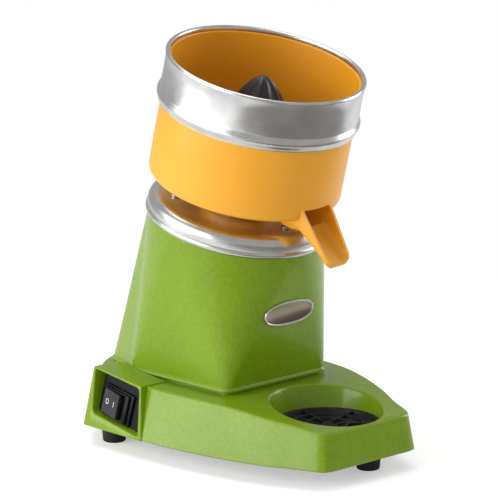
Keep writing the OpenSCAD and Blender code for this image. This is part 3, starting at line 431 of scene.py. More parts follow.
finishes = {
    "casting_paint": newFinish("green_enamel", enamel, Coat_Weight=0.3, Coat_Roughness=0.06,
                               Specular_IOR_Level=0.3),
    "polished_alloy": newFinish("polished_alloy", polished, Metallic=1.0),
    "plain_alloy": newFinish("cast_alloy", castAlloy, Metallic=1.0),
    "zinc_steel": newFinish("zinc_plate", zincPlate, Metallic=1.0),
    "stainless": newFinish("brushed_steel", brushedSteel, Metallic=1.0),
    "core_steel": newFinish("laminated_steel", laminations, Metallic=0.8),
    "black_rubber": newFinish("black_rubber", rubber, Specular_IOR_Level=0.4),
    "switch_black": newFinish("gloss_black", glossBlack, Specular_IOR_Level=0.16),
    "rocker_grey": newFinish("rocker_grey", greyKey, Specular_IOR_Level=0.3),
    "bowl_plastic": newFinish("orange_plastic", bowlPlastic, Subsurface_Weight=0.04, Subsurface_Scale=0.004,
                              Subsurface_Radius=(1.0, 0.5, 0.1)),
    "cone_plastic": newFinish("anthracite_plastic", conePlastic),
    "bronze": newFinish("sintered_bronze", bronzeBush, Metallic=1.0),
    "copper": newFinish("winding_wire", windingWire, Metallic=0.55),
    "wire_brown": newFinish("brown_sleeve", brownSleeve),
    "white_plastic": newFinish("pale_moulding", paleMoulding),
    "dark_plastic": newFinish("dark_moulding", darkMoulding),
    "brass": newFinish("plain_brass", plainBrass, Metallic=1.0),
}
print("finishes:", len(finishes))


def lerp(a, b, t):
    return a + (b - a) * t


def curveLoop(points, steps):     # smooth closed line through the points
    count, line = len(points), []
    for i in range(count):
        a, b, c, d = (Vector(points[(i + k) % count]) for k in (-1, 0, 1, 2))
        for k in range(steps):
            t = k / steps
            line.append((2 * b + (c - a) * t + (2 * a - 5 * b + 4 * c - d) * t * t
                         + (3 * b - a - 3 * c + d) * t ** 3) / 2)
    return line


def bothSides(half):              # half outline from front to rear, and its mirror image back
    return list(half) + [(-x, y) for x, y in reversed(half[1:-1])]


def inset(ring, width):
    count, moved = len(ring), []
    for i, point in enumerate(ring):
        along = Vector(ring[(i + 1) % count]) - Vector(ring[i - 1])
        along.normalize()
        moved.append(Vector(point) + width * Vector((-along.y, along.x)))
    return moved


def roundedOutline(corners, steps):           # corners given as ((x, y), radius)
    outline, count = [], len(corners)
    for i in range(count):
        a, b, c = (Vector(corners[(i + k) % count][0]) for k in (-1, 0, 1))
        u, v = (a - b).normalized(), (c - b).normalized()
        half = acos(max(-1, min(1, u.dot(v)))) / 2
        middle = b + (u + v).normalized() * corners[i][1] / sin(half)
        start, end = b + u * corners[i][1] / tan(half) - middle, b + v * corners[i][1] / tan(half) - middle
        turn = atan2(start.x * end.y - start.y * end.x, start.dot(end))
        first = atan2(start.y, start.x)
        outline += [middle + corners[i][1] * Vector((cos(first + turn * k / steps),
                                                     sin(first + turn * k / steps)))
                    for k in range(steps + 1)]
    return outline


base = {
    "halfWidth": 97, "front": 151, "back": 142.5, "underside": 16,
    "nose": 46.7, "noseY": -147.07, "deck": 60, "slope": radians(8.3), "blend": 4,
    "edge": 1.2, "arris": 2.4, "wall": 5, "roof": 5, "core": Vector((0, 40)), "reach": 0.7,
    "bossLow": 17.5, "bossDrop": 2.5, "bossRadius": 7,
    "bolts": [(47.4, -30.3), (36, 108)], "boltHole": 2.8, "boltSeat": 5.5, "ductY": 44, "duct": 41,
    "feet": {"foot_front": (23.4, -123.2), "foot_rear_left": (-72.4, 84.1),
             "foot_rear_right": (72.4, 84.1)},
    # shares of the half width and of the reach: foot of the wall, then the deck
    "plan": [(0, -1, 0, -0.974), (0.258, -1, 0.247, -0.974), (0.479, -0.997, 0.448, -0.971),
             (0.562, -0.956, 0.531, -0.93), (0.66, -0.805, 0.603, -0.788), (0.791, -0.619, 0.714, -0.609),
             (0.912, -0.305, 0.825, -0.311), (0.969, -0.053, 0.871, -0.06), (0.985, 0.14, 0.881, 0.14),
             (1, 0.337, 0.887, 0.323), (0.979, 0.519, 0.861, 0.491), (0.907, 0.674, 0.794, 0.632),
             (0.789, 0.793, 0.691, 0.74), (0.619, 0.891, 0.541, 0.839), (0.34, 0.972, 0.299, 0.919),
             (0, 1, 0, 0.951)],
}
gland = {"place": (-18, 141.5, 36), "pad": 11, "padDepth": 16, "bore": 6.05}
well = {"y": -98.8, "floor": 34, "radius": 43.2, "flare": 0.19, "fillet": 2.4, "wall": 4}
housing = {
    "side": [(96, 16), (23, 16), (28, 61), (88, 67.6)], "face": -97, "lean": radians(6.4), "inner": -76,
    "shelf": -64.5, "shelfLow": 56, "edge": 1.0,
    "mouth": [((86, 65.6), 2), ((30.2, 58.8), 5), ((28.2, 18.8), 2), ((86, 28.2), 5)],
}


def deckAt(y):
    nose = base["nose"] + (y - base["noseY"]) * tan(base["slope"])
    near = max(base["blend"] - abs(base["deck"] - nose), 0) / base["blend"]
    return min(base["deck"], nose) - near * near * base["blend"] / 4


def planLoop(column, steps):
    half = []
    for row in base["plan"]:
        x, y = row[column] * base["halfWidth"], row[column + 1]
        half.append((x, y * (base["front"] if y < 0 else base["back"])))
    return curveLoop(bothSides(half), steps)


def deckRing(ring, share, drop=0):
    out = []
    for p in ring:
        q = lerp(Vector(p), base["core"], share)
        out.append((q.x, q.y, deckAt(q.y) - drop))
    return out


def makeBaseSkin(steps):
    low, high = planLoop(0, steps), planLoop(2, steps)
    under, edge, arris = base["underside"], base["edge"], base["arris"]
    rings = []
    for a in (0, 30, 60, 90):
        rings.append([(p.x, p.y, under + edge * (1 - cos(radians(a))))
                      for p in inset(low, edge * (1 - sin(radians(a))))])
    for t in [k / 8 for k in range(1, 9)]:
        rings.append([(lerp(p.x, q.x, t), lerp(p.y, q.y, t), lerp(under + edge, deckAt(q.y) - arris, t))
                      for p, q in zip(low, high)])
    for a in range(12, 91, 13):
        ring = inset(high, arris * (1 - cos(radians(a))))
        rings.append([(p.x, p.y, deckAt(p.y) - arris * (1 - sin(radians(a)))) for p in ring])
    inner = inset(high, arris)
    share = 0.012
    while share < base["reach"]:
        rings.append(deckRing(inner, share))
        share += 0.028
    return loft("base_casting", rings)


def makeBaseCavity(steps):
    low = inset(planLoop(0, steps), base["wall"])
    high = inset(planLoop(2, steps), base["wall"] + base["roof"] / 2)
    rings = [[(p.x, p.y, base["underside"] - 2) for p in low],
             [(p.x, p.y, deckAt(p.y) - base["roof"] - base["arris"]) for p in high]]
    rings += [deckRing(high, share, base["roof"]) for share in (0.04, 0.2, 0.4, base["reach"])]
    return loft("base_cavity", rings)


def wellRadius(z):
    return well["radius"] + well["flare"] * (z - well["floor"])


def makeWellTub(count=120):
    rings = []
    for t in [k / 6 for k in range(7)]:
        ring = []
        for a in [2 * pi * i / count for i in range(count)]:
            z = well["floor"] - 3
            for turn in range(4):
                r = wellRadius(z) + well["wall"]
                y = well["y"] + r * sin(a)
                z = lerp(well["floor"] - 3, deckAt(max(y, -146)) - base["roof"] / 2, t)
            ring.append((r * cos(a), max(y, -146.5 + 0.16 * (z - 31)), z))
        rings.append(ring)
    return loft("well_tub", rings)


def makeWellCutter(count=256):
    floor, fillet = well["floor"], well["fillet"]
    columns = []
    for a in [2 * pi * i / count for i in range(count)]:
        z = 50
        for turn in range(12):
            r = wellRadius(z)
            z = deckAt(well["y"] + r * sin(a))
        size = fillet - 1.3 * max(0, -sin(a)) ** 4
        rise = (deckAt(well["y"] + (r + 2) * sin(a)) - z) / 2
        wallWay, deckWay = Vector((-well["flare"], -1)).normalized(), Vector((1, rise)).normalized()
        half = acos(wallWay.dot(deckWay)) / 2
        corner = Vector((r, z))
        middle = corner + (wallWay + deckWay).normalized() * size / sin(half)
        start = corner + wallWay * size / tan(half) - middle
        end = corner + deckWay * size / tan(half) - middle
        turn, first = atan2(start.x * end.y - start.y * end.x, start.dot(end)), atan2(start.y, start.x)
        line = [Vector((well["radius"] - 2 + 2 * sin(radians(b)), floor + 2 - 2 * cos(radians(b))))
                for b in (0, 30, 60, 88)]
        tip = middle + start
        line += [lerp(line[-1], tip, k / 4) for k in (1, 2, 3)]
        line += [middle + size * Vector((cos(first + turn * k / 9), sin(first + turn * k / 9)))
                 for k in range(9)]
        line.append(Vector((line[-1].x, z + 9)))
        columns.append([(p.x * cos(a), well["y"] + p.x * sin(a), p.y) for p in line])
    return loft("well_cut", [[column[k] for column in columns] for k in range(len(columns[0]))])


def faceX(z):                     # outer face of the housing
    return housing["face"] + (z - base["underside"]) * tan(housing["lean"])


def makeHousing():
    side = housing["side"]
    piece = loft("housing", [[(housing["shelf"], y, z) for y, z in side],
                             [(faceX(z), y, z) for y, z in side]])
    editAll(piece, "EDGE")
    shape = bmesh.from_edit_mesh(piece.data)
    for edge in shape.edges:
        edge.select = min(v.co.x for v in edge.verts) < housing["inner"] * mm
    shape.select_flush(False)
    bmesh.update_edit_mesh(piece.data)
    bpy.ops.mesh.bevel(offset=housing["edge"] * mm, segments=4)
    bpy.ops.object.mode_set(mode="OBJECT")
    combine(piece, block("below_shelf", (housing["inner"], 0, 0), (-40, 120, housing["shelfLow"])),
            "DIFFERENCE")
    return piece


def makeMouth():
    outline = [(p.x, p.y) for p in roundedOutline(housing["mouth"], 10)]
    area = sum(outline[i - 1][0] * outline[i][1] - outline[i][0] * outline[i - 1][1]
               for i in range(len(outline)))
    way = -1 if area > 0 else 1   # inset goes to the left of the way round
    rings = [[(faceX(p.y) + depth, p.x, p.y) for p in inset(outline, way * grow)] for depth, grow in
             ((-8, 1.2), (-0.02, 1.2), (0.15, 0.75), (0.4, 0.38), (0.75, 0.12), (1.2, 0), (22, 0))]
    return loft("mouth_cut", rings)


column = {
    "corners": [((57.4, -40.3), 8, (3, 87), 24), ((62.7, 71.4), 12, (90, 132), 16),
                ((46, 118), 15, (135, 177), 16)],
    "foot": 62.1, "lip": 1.3, "topRadius": 74.6, "wall": 5, "plate": 7, "flatSteps": 6,
    "pilot": 30, "pilotLow": 185, "pilotHigh": 202,
}


def footAndTurns():               # points of the foot, each with its place on the round top
    corners = column["corners"]
    spots, turns = [], []
    front, rear = Vector((0, corners[0][0][1])), Vector((0, corners[-1][0][1]))
    plain = [front] + [Vector(c[0]) for c in corners] + [rear]
    arcs = []
    for i, (place, radius, fan, steps) in enumerate(corners):
        a, b, c = plain[i], plain[i + 1], plain[i + 2]
        u, v = (a - b).normalized(), (c - b).normalized()
        half = acos(u.dot(v)) / 2
        middle = b + (u + v).normalized() * radius / sin(half)
        start, end = b + u * radius / tan(half) - middle, b + v * radius / tan(half) - middle
        turn, first = atan2(start.x * end.y - start.y * end.x, start.dot(end)), atan2(start.y, start.x)
        bow = [middle + radius * Vector((cos(first + turn * k / steps), sin(first + turn * k / steps)))
               for k in range(steps + 1)]
        arcs.append((bow, [lerp(fan[0], fan[1], k / steps) for k in range(steps + 1)]))
    last, lastTurn = plain[0], 0
    flat = column["flatSteps"]
    for line, fan in arcs + [([plain[-1]], [180])]:
        spots += [lerp(last, line[0], k / flat) for k in range(1 if spots else 0, flat)]
        turns += [lerp(lastTurn, fan[0], k / flat) for k in range(1 if turns else 0, flat)]
        spots += line
        turns += fan
        last, lastTurn = line[-1], fan[-1]
    spots = spots + [Vector((-p.x, p.y)) for p in reversed(spots[1:-1])]
    turns = turns + [-t for t in reversed(turns[1:-1])]
    return spots, turns


footPlan, topTurns = footAndTurns()


def footRing(grow, z):
    return [(p.x, p.y, z) for p in inset(footPlan, -grow)]


def topRing(radius, s):
    return [tuple((axisFoot + mm * (s * axisUp + radius * (sin(radians(t)) * axisSide
                                                           + cos(radians(t)) * axisFront))) / mm)
            for t in topTurns]


def makeBase():
    piece = makeBaseSkin(8)
    combine(piece, makeBaseCavity(4), "DIFFERENCE")
    combine(piece, makeWellTub(), "UNION")
    for x, y in base["feet"].values():
        combine(piece, plug("foot_boss", x, y, base["bossLow"], deckAt(y) - base["bossDrop"],
                            base["bossRadius"]), "UNION")
    combine(piece, makeHousing(), "UNION")
    combine(piece, loft("plinth", [footRing(-2.5, 57), footRing(-2.5, 61.7),
                                   footRing(-2.8, column["foot"])]), "UNION")
    inlet, rearward = Vector(gland["place"]) * mm, Vector((0, 1, 0))
    wide, deep = gland["pad"], gland["padDepth"]
    pad = turned("gland_pad", [(0, -deep), (wide, -deep), (wide, 0, 0.8), (0, 0)], foot=inlet, up=rearward,
                 steps=64)
    combine(piece, pad, "UNION")
    combine(piece, makeWellCutter(), "DIFFERENCE")
    combine(piece, makeMouth(), "DIFFERENCE")
    combine(piece, plug("duct", 0, base["ductY"], 50, 80, base["duct"], 96), "DIFFERENCE")
    narrow, start, end = gland["bore"], -30, 8
    bore = turned("gland_bore", [(0, start), (narrow, start), (narrow, end), (0, end)], foot=inlet,
                  up=rearward, steps=48)
    combine(piece, bore, "DIFFERENCE")
    for x, y in base["bolts"]:    # holes and seats of the column bolts
        for side in (-1, 1):
            combine(piece, plug("bolt_hole", side * x, y, 50, 66, base["boltHole"], 32), "DIFFERENCE")
            combine(piece, plug("bolt_seat", side * x, y, 48, 55, base["boltSeat"], 32), "DIFFERENCE")
    closeUp(piece, 2e-6)
    return settle(piece, "machine", "casting_paint", finishes["casting_paint"], "base_casting", angle=22)


def makeColumn():
    lip, foot = column["lip"], column["foot"]
    profile = [(0.5, 0), (1.0, 0.2), (lip, 0.8), (lip, 1.4), (lip * 0.9, 1.9), (lip * 0.6, 2.4),
               (lip * 0.2, 2.9), (0, 3.4)]
    rings = [footRing(grow, foot + rise) for grow, rise in profile]
    low, high = rings[-1], topRing(column["topRadius"], stance["columnTop"] - 2)
    rings += [[tuple(lerp(Vector(a), Vector(b), k / 28)) for a, b in zip(low, high)] for k in range(1, 29)]
    for a in (30, 60, 90):
        rings.append(topRing(column["topRadius"] - 1.2 * (1 - cos(radians(a))),
                             stance["columnTop"] - 1.2 * (1 - sin(radians(a)))))
    piece = loft("column_casting", rings)
    low = footRing(-column["wall"], foot - 2)
    high = topRing(column["topRadius"] - column["wall"], stance["columnTop"] - column["plate"])
    combine(piece, loft("column_cavity", [[tuple(lerp(Vector(a), Vector(b), k / 6))
                                           for a, b in zip(low, high)]
                                          for k in range(7)]), "DIFFERENCE")
    wide, low, high = column["pilot"], column["pilotLow"], column["pilotHigh"]
    hole = turned("pilot", [(0, low), (wide, low), (wide, high), (0, high)], steps=96)
    combine(piece, hole, "DIFFERENCE")
    closeUp(piece, 2e-6)
    return settle(piece, "machine", "casting_paint", finishes["casting_paint"], "column_casting", angle=25)


cap = [(9, 0), (27, 0), (27, 14.8), (65.4, 13.6), (69.2, 6), (69.2, 0), (74.6, 0, 0.5), (77.4, 0.6, 1.6),
       (77.4, 4.6, 1.6), (76.2, 5.4, 0.4), (76.4, 6.2, 0.3), (76.4, 17.8, 8.6), (36, 18.2, 2),
       (27.2, 18.4, 0.6), (27, 25.8, 1.0), (14, 25.8, 0.4), (14, 20.8), (9, 20.8)]


def makeCap():
    piece = turned("motor_cap", cap, base=stance["columnTop"], steps=256)
    return settle(piece, "machine", "polished_alloy", finishes["polished_alloy"], "motor_cap", angle=38)


band = {"out": 83.0, "bead": 2.0, "beadAt": 105.0, "beadHalf": 6.2, "low": 98.2, "high": 138.2,
        "sheet": 1.3}


def makeBand():
    line = [(81.0, band["low"]), (82.6, band["low"] + 0.5)]
    for k in range(-8, 9):        # bead, running out softly into the wall
        line.append((band["out"] + band["bead"] * (0.5 + 0.5 * cos(pi * k / 8)),
                     band["beadAt"] + band["beadHalf"] * k / 8))
    line += [(band["out"] - 0.25, 114), (band["out"] - 0.4, 122), (band["out"] - 0.3, 131),
             (band["out"], band["high"])]
    for a in range(-10, 181, 14):
        line.append((81.65 + 1.9 * cos(radians(a)), 140.0 + 1.9 * sin(radians(a))))
    inner = [(r - band["sheet"], z) for r, z in reversed(line[2:23])]
    lower = [p for p in inner if p[1] < 136]
    section = line + [(79.7, 138.6), (81.0, 138.2), (81.0, 136.4)] + lower + [(81.0, band["low"] + 0.9)]
    piece = turned("bowl_band", section, base=stance["columnTop"], steps=256)
    return settle(piece, "bowl", "polished_alloy", finishes["polished_alloy"], "bowl_band", angle=50)


bowlShape = {
    "wall": [(9, 26.1), (30, 26.1, 0.6), (30, 29.1), (32, 34), (80.8, 34, 6.5), (80.8, 138.0, 0.8),
             (78, 138.0, 0.8), (78, 49, 0.4), (73, 48, 0.4), (73, 37, 6), (14.5, 37, 1.5), (12.5, 39),
             (12.5, 67, 0.8), (9, 67, 0.4)],
    # spout: reach from the axis, half width, top and underside above the column top
    "spout": [(44, 18.3, 35, 32), (52, 18.3, 35, 27), (60, 18.3, 35, 22.6), (68, 18.3, 41, 22.9),
              (78, 18.3, 46.5, 24.9), (88, 17.3, 36.3, 19.3), (98, 16.2, 26.1, 13.6), (106, 15.4, 17.9, 9.1),
              (110, 14.9, 13.9, 6.9), (112, 13.4, 12, 5.7)],
    "round": 9, "sheet": 2.4, "outletTop": 44.7,
}


def spoutRing(reach, half, top, low, size, steps=10):
    c = min(size, (top - low) * 0.9, half * 0.9)
    section = [(half, top)] + [(half - c + c * cos(radians(a)), low + c + c * sin(radians(a)))
                               for a in [-90 * k / steps for k in range(steps + 1)]]
    section += [(c - half + c * cos(radians(a)), low + c + c * sin(radians(a)))
                for a in [-90 - 90 * k / steps for k in range(steps + 1)]] + [(-half, top)]
    out = []
    for x, z in section:
        side = cos(stance["bowlTurn"]) * axisSide - sin(stance["bowlTurn"]) * axisFront
        front = cos(stance["bowlTurn"]) * axisFront + sin(stance["bowlTurn"]) * axisSide
        out.append(tuple((axisFoot + mm * ((z + stance["columnTop"]) * axisUp + x * side
                                           + reach * front)) / mm))
    return out


def makeBowl():
    spec = bowlShape
    piece = turned("bowl", spec["wall"], base=stance["columnTop"], steps=256)
    chute = loft("spout", [spoutRing(*row, spec["round"]) for row in spec["spout"]])
    combine(piece, chute, "UNION")
    t, top = spec["sheet"], spec["outletTop"]
    slope = (6.9 - 24.9) / 32
    hollow = [(46.5, 15.9, top, 34.2), (60, 15.9, top, 24.6), (68, 15.9, top, 25.2),
              (78, 15.9, top, 24.9 + t + 0.3), (83, 15.6, top, 24.9 + t + 5 * slope + 0.2),
              (84.4, 15.4, 54, 24.9 + t + 6.4 * slope + 0.2), (100, 13.6, 54, 24.9 + t + 22 * slope + 0.2),
              (114, 12.2, 54, 24.9 + t + 36 * slope + 0.2)]
    combine(piece, loft("channel", [spoutRing(*row, spec["round"] - t) for row in hollow]), "DIFFERENCE")
    for side in (-1, 1):          # peg holes in the hub flange
        foot = axisFoot + mm * 20.5 * side * axisSide
        combine(piece, turned("peg_hole", [(0, 220), (2.3, 220), (2.3, 233), (0, 233)], foot=foot,
                              steps=24), "DIFFERENCE")
    closeUp(piece, 2e-6)
    return settle(piece, "bowl", "bowl_plastic", finishes["bowl_plastic"], "bowl", angle=32)


cone = {
    "shares": [(1, 0), (1.0, 0.05), (0.985, 0.12), (0.955, 0.2), (0.9, 0.3), (0.83, 0.4), (0.745, 0.5),
               (0.65, 0.6), (0.545, 0.7), (0.43, 0.8), (0.31, 0.885), (0.19, 0.95), (0.09, 0.985),
               (0.02, 1.0)],
    "radius": 36, "low": 66.2, "height": 64.6, "ribs": 10, "depth": 0.17,
}


def coneRing(share, level, steps=240):
    out = []
    for i in range(steps):
        a = 2 * pi * i / steps
        crest = 1 - abs(sin(cone["ribs"] * a / 2))
        minor = max(0, 1 - 3.2 * abs(cos(cone["ribs"] * a / 2)))
        fade = min(1, level * 9) * (0.6 + 0.4 * (1 - level))
        flute = 1 - crest ** 1.2 - 0.42 * minor * max(0, 1 - 1.7 * level)
        r = cone["radius"] * share * (1 - cone["depth"] * fade * flute)
        out.append(tuple((axisFoot + mm * ((stance["columnTop"] + cone["low"]
                                            + level * cone["height"]) * axisUp
                                           + r * (cos(a) * axisSide + sin(a) * axisFront))) / mm))
    return out


def makeCone():
    rows = []
    shares = cone["shares"]
    for k in range(len(shares) - 1):
        for t in (0, 0.5):
            rows.append((lerp(shares[k][0], shares[k + 1][0], t), lerp(shares[k][1], shares[k + 1][1], t)))
    rows.append(shares[-1])
    piece = loft("press_cone", [coneRing(*row) for row in rows])
    skirt = turned("skirt", [(20, 66.2), (37, 66.2, 0.8), (37, 68.4, 0.8), (31, 69.4), (20, 69.4)],
                   base=stance["columnTop"])
    combine(piece, skirt, "UNION")
    combine(piece, turned("cone_hole", [(0, 60), (14.5, 60), (14.5, 69), (9.6, 69), (9.6, 106.25),
                                        (0, 106.25)],
                          base=stance["columnTop"], steps=64), "DIFFERENCE")
    closeUp(piece, 2e-6)
    return settle(piece, "cone", "cone_plastic", finishes["cone_plastic"], "press_cone", angle=28)


tray = {"floor": 34, "radius": 42.7, "height": 6, "rim": 2.5, "sole": 2, "rib": 1.7,
        "rings": (0.72, 0.42), "spokes": 6, "turn": 15}


def makeTray():
    foot, up = Vector((0, well["y"], tray["floor"])) * mm, Vector((0, 0, 1))
    r, h, sole, rib = tray["radius"], tray["height"], tray["sole"], tray["rib"]
    section = [(0, 0), (r, 0, 0.6), (r + 1.1, h, 0.7), (r - tray["rim"] + 1, h, 0.6),
               (r - tray["rim"], sole, 0.6)]
    for share in tray["rings"]:
        section += [(r * share, sole, 0.3), (r * share - 0.2, h - 1, 0.5),
                    (r * share - rib + 0.2, h - 1, 0.5), (r * share - rib, sole, 0.3)]
    section.append((0, sole))
    piece = turned("cup_tray", section, foot=foot, up=up, steps=160)
    for i in range(tray["spokes"]):
        turn = Matrix.Translation(foot) @ Matrix.Rotation(radians(tray["turn"] + 60 * i), 4, "Z")
        spoke = block("spoke", (r * 0.2, -rib / 2, sole - 0.3), (r - 1.4, rib / 2, h - 1), turn)
        softEdges(spoke, 0.45, 2)
        combine(piece, spoke, "UNION")
    closeUp(piece, 2e-6)
    return settle(piece, "tray", "black_rubber", finishes["black_rubber"], "cup_tray", angle=35)


footSection = [(0, 3.2), (4.3, 3.2), (4.3, 0, 0.3), (9.6, 0, 1.4), (11, 16, 0.5), (0, 16)]


def makeFeet():
    for node, (x, y) in base["feet"].items():
        piece = turned(node, footSection, foot=Vector((x, y, 0)) * mm, up=Vector((0, 0, 1)), steps=96)
        settle(piece, "machine", "black_rubber", finishes["black_rubber"], node, angle=35)


badge = {"halfLong": 27.4, "halfTall": 10.7, "z": 123.5, "thick": 1.2, "power": 2.4, "rim": 1.5,
         "sunk": 0.35}


def makeBadge():
    low = Vector((0, -40.3, 62.1))
    top = (axisFoot + mm * (stance["columnTop"] * axisUp + 74.6 * axisFront)) / mm
    way = (top - low).normalized()
    out = Vector((0, -way.z, way.y))
    middle = low + way * (badge["z"] - low.z) / way.z

    def ring(shrink, height):
        points = []
        for i in range(120):
            a = 2 * pi * i / 120
            k = (abs(cos(a)) ** badge["power"] + abs(sin(a)) ** badge["power"]) ** (-1 / badge["power"])
            points.append(middle + Vector((((badge["halfLong"] - shrink) * k * cos(a)), 0, 0))
                          + way * (badge["halfTall"] - shrink) * k * sin(a) + out * height)
        return points

    t, rim, sunk = badge["thick"], badge["rim"], badge["sunk"]
    piece = loft("badge_plate", [ring(0, -0.05), ring(0, t - 0.4), ring(0.15, t - 0.12), ring(0.45, t),
                                 ring(rim - 0.3, t),
                                 ring(rim, t - sunk * 0.5), ring(rim + 0.25, t - sunk)])
    settle(piece, "machine", slotOf["badge_plate"], finishes["polished_alloy"], "badge_plate", angle=40)
    piece.data.materials.append(newFinish("badge_field", badgeField, Metallic=1.0))
    for face in piece.data.polygons:
        if face.center.length and len(face.vertices) > 60 and (face.center - middle * mm).dot(out) > 0:
            face.material_index = 1
    return piece


switch = {
    "y": 64, "z": 39, "x": -87.02, "lean": radians(8 - 90), "turn": radians(-9.3), "throw": radians(-7),
    "pivot": 2.6, "frame": (27, 36, 2.2), "step": (24.8, 29.6, 4.8), "rocker": (21, 21.2, 7.4),
    "gap": 1.4, "shift": -3, "ring": (1.7, 2.3), "ringAt": (0.6, 4.4), "bar": (4.6, 0.7),
    "barAt": (0.6, -4.8), "markTall": 0.25, "markSunk": 0.36,
}
panelPlace = Matrix.Translation(Vector((switch["x"], switch["y"], switch["z"])) * mm) @ Matrix.Rotation(
    switch["lean"], 4, "Y") @ Matrix.Rotation(switch["turn"], 4, "Z")


def slab(name, size, low, high, place=panelPlace):
    return block(name, (-size[0] / 2, -size[1] / 2, low), (size[0] / 2, size[1] / 2, high), place)


def makeSwitch():
    wide, step, rocker = switch["frame"], switch["step"], switch["rocker"]
    moved = panelPlace @ Matrix.Translation((0, switch["shift"] * mm, 0))
    piece = softEdges(slab("switch_frame", wide, 0, wide[2], moved), 0.6, 3)
    combine(piece, softEdges(slab("step", step, wide[2] - 1, step[2], moved), 0.6, 3), "UNION")
    combine(piece, slab("rocker_hole", (rocker[0] + 0.6, rocker[1] + 2 * switch["gap"]), -1, step[2] + 1),
            "DIFFERENCE")
    softEdges(piece, 0.25, 2, 60)
    settle(piece, "machine", "switch_black", finishes["switch_black"], "switch_frame", angle=35)

    hinge = panelPlace @ Matrix.Translation((0, 0, switch["pivot"] * mm))
    tilt = hinge @ Matrix.Rotation(switch["throw"], 4, "X")
    half, top = rocker[1] / 2, rocker[2] - switch["pivot"]
    side = [(-half + 2, -1.08), (half - 2, -1.08), (half, 2.6), (half, top)]
    side += [(half * (1 - k / 6), top - 0.5 * sin(pi / 2 * k / 6)) for k in range(1, 12)]
    side += [(-half, top), (-half, 2.6)]
    ends = [[tilt @ (Vector((x, y, z)) * mm) / mm for y, z in side]
            for x in (-rocker[0] / 2, rocker[0] / 2)]
    piece = softEdges(loft("switch_rocker", ends), 0.5, 3, 50)
    settle(piece, "rocker", "rocker_grey", finishes["rocker_grey"], "switch_rocker", angle=35)

    tall, level, (thin, thick) = switch["markTall"], top - switch["markSunk"], switch["ring"]
    ring = turned("mark_off", [(thin, 0), (thick, 0), (thick, tall), (thin, tall)], steps=40,
                  foot=tilt @ (Vector((*switch["ringAt"], level)) * mm),
                  up=(tilt.to_3x3() @ Vector((0, 0.05, 1))).normalized(),
                  out=tilt.to_3x3() @ Vector((1, 0, 0)))
    settle(ring, "rocker", "white_plastic", finishes["white_plastic"], angle=35)
    barPlace = tilt @ Matrix.Translation(Vector((*switch["barAt"], level)) * mm)
    bar = softEdges(slab("mark_on", switch["bar"], 0, tall, barPlace), 0.1, 2)
    settle(bar, "rocker", "white_plastic", finishes["white_plastic"], angle=35)


makeBase()
makeColumn()
makeCap()
makeBand()
makeBowl()
makeCone()
makeTray()
makeFeet()
makeBadge()
makeSwitch()
print("pieces made")

for name, slot in slotOf.items():                # the CAD pieces that stay get the same finishes
    for place in nodes[name].material_slots:
        place.material = finishes[slot]

stageSpec = {"size": 14, "floor": tint(240, 240, 240), "glow": 0.38, "world": 0.44,
             "card": tint(134, 130, 126)}


def plainSheet(name, low, high, material):
    clearSelection()
    bpy.ops.mesh.primitive_plane_add(size=2)
    sheet = bpy.context.object
    sheet.name = sheet.data.name = name
    for vertex in sheet.data.vertices:
        vertex.co = Vector([lerp(low[k], high[k], vertex.co[k] / 2 + 0.5) for k in range(2)] + [low[2]])
    sheet.data.materials.append(material)
    return sheet


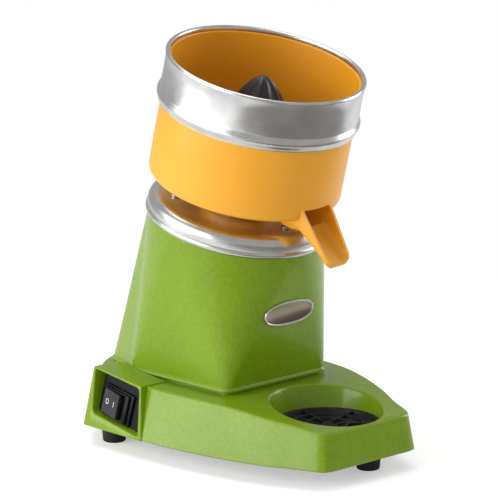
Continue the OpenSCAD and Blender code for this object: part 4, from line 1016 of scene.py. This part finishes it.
paper = bpy.data.materials.new("pale_floor")
paper.use_nodes = True
tree = paper.node_tree
tree.nodes.clear()
start = Field(tree)
seen = start.node("LightPath", None, None, "Is Camera Ray")
where = start.node("TexCoord", None, None, "Object")
away = start.node("VectorMath", {"operation": "LENGTH"}, {0: where}, "Value")
matte = start.node("BsdfDiffuse", None, {"Color": stageSpec["floor"]})
glow = start.node("Emission", None, {"Color": (1, 1, 1, 1), "Strength": seen * stageSpec["glow"]})
near = start.node("AddShader", None, {0: matte, 1: glow})
white = start.node("Emission", None, {"Color": (1, 1, 1, 1), "Strength": 1.0})
both = start.node("MixShader", None, {0: seen * span(away, 0.30, 0.75), 1: near, 2: white})
tree.links.new(both.socket, tree.nodes.new("ShaderNodeOutputMaterial").inputs["Surface"])
half = stageSpec["size"] / 2
floor = plainSheet("floor", (-half, -half, 0), (half, half, 0), paper)

felt = bpy.data.materials.new("grey_felt")
felt.use_nodes = True
felt.node_tree.nodes["Principled BSDF"].inputs["Base Color"].default_value = stageSpec["card"]
felt.node_tree.nodes["Principled BSDF"].inputs["Roughness"].default_value = 0.9
card = plainSheet("grey_card", (-0.75, -1.3, 0.002), (1.1, -0.24, 0.002), felt)
for ray in ("camera", "shadow", "diffuse"):       # only the metal and the gloss see it
    setattr(card, "visible_" + ray, False)

world = bpy.data.worlds.new("studio")
bpy.context.scene.world = world
world.use_nodes = True
world.node_tree.nodes["Background"].inputs["Color"].default_value = (1, 1, 1, 1)
world.node_tree.nodes["Background"].inputs["Strength"].default_value = stageSpec["world"]

lamps = [  # place, aim, size, watts
    ("key_left", (-1.75, 0.55, 0.62), (0, 0.1, 0.3), (2.3, 1.24), 33),
    ("strip_right", (1.6, -0.55, 0.6), (0, 0, 0.25), (0.7, 1.1), 11),
    ("top_soft", (-0.1, 0.35, 2.0), (0, 0, 0.16), (1.5, 1.5), 16),
]
for name, place, aim, size, power in lamps:
    clearSelection()
    bpy.ops.object.light_add(type="AREA", location=place)
    lamp = bpy.context.object
    lamp.name = name
    lamp.data.shape, lamp.data.energy = "RECTANGLE", power
    lamp.data.size, lamp.data.size_y = size
    lamp.rotation_euler = (Vector(aim) - Vector(place)).to_track_quat("-Z", "Y").to_euler()

shot = {"place": (-2.0496, -2.1794, 0.8449), "aim": (-0.00038, -0.00667, 0.16881), "lens": 265.18,
        "sensor": 36, "far": 60}
clearSelection()
bpy.ops.object.camera_add(location=shot["place"])
camera = bpy.context.object
target = Vector(shot["aim"])
camera.rotation_euler = (target - camera.location).to_track_quat("-Z", "Y").to_euler()
camera.data.lens, camera.data.sensor_width, camera.data.clip_end = shot["lens"], shot["sensor"], shot["far"]
bpy.context.scene.camera = camera
bpy.context.scene.view_settings.view_transform = "Standard"
print("stage set")
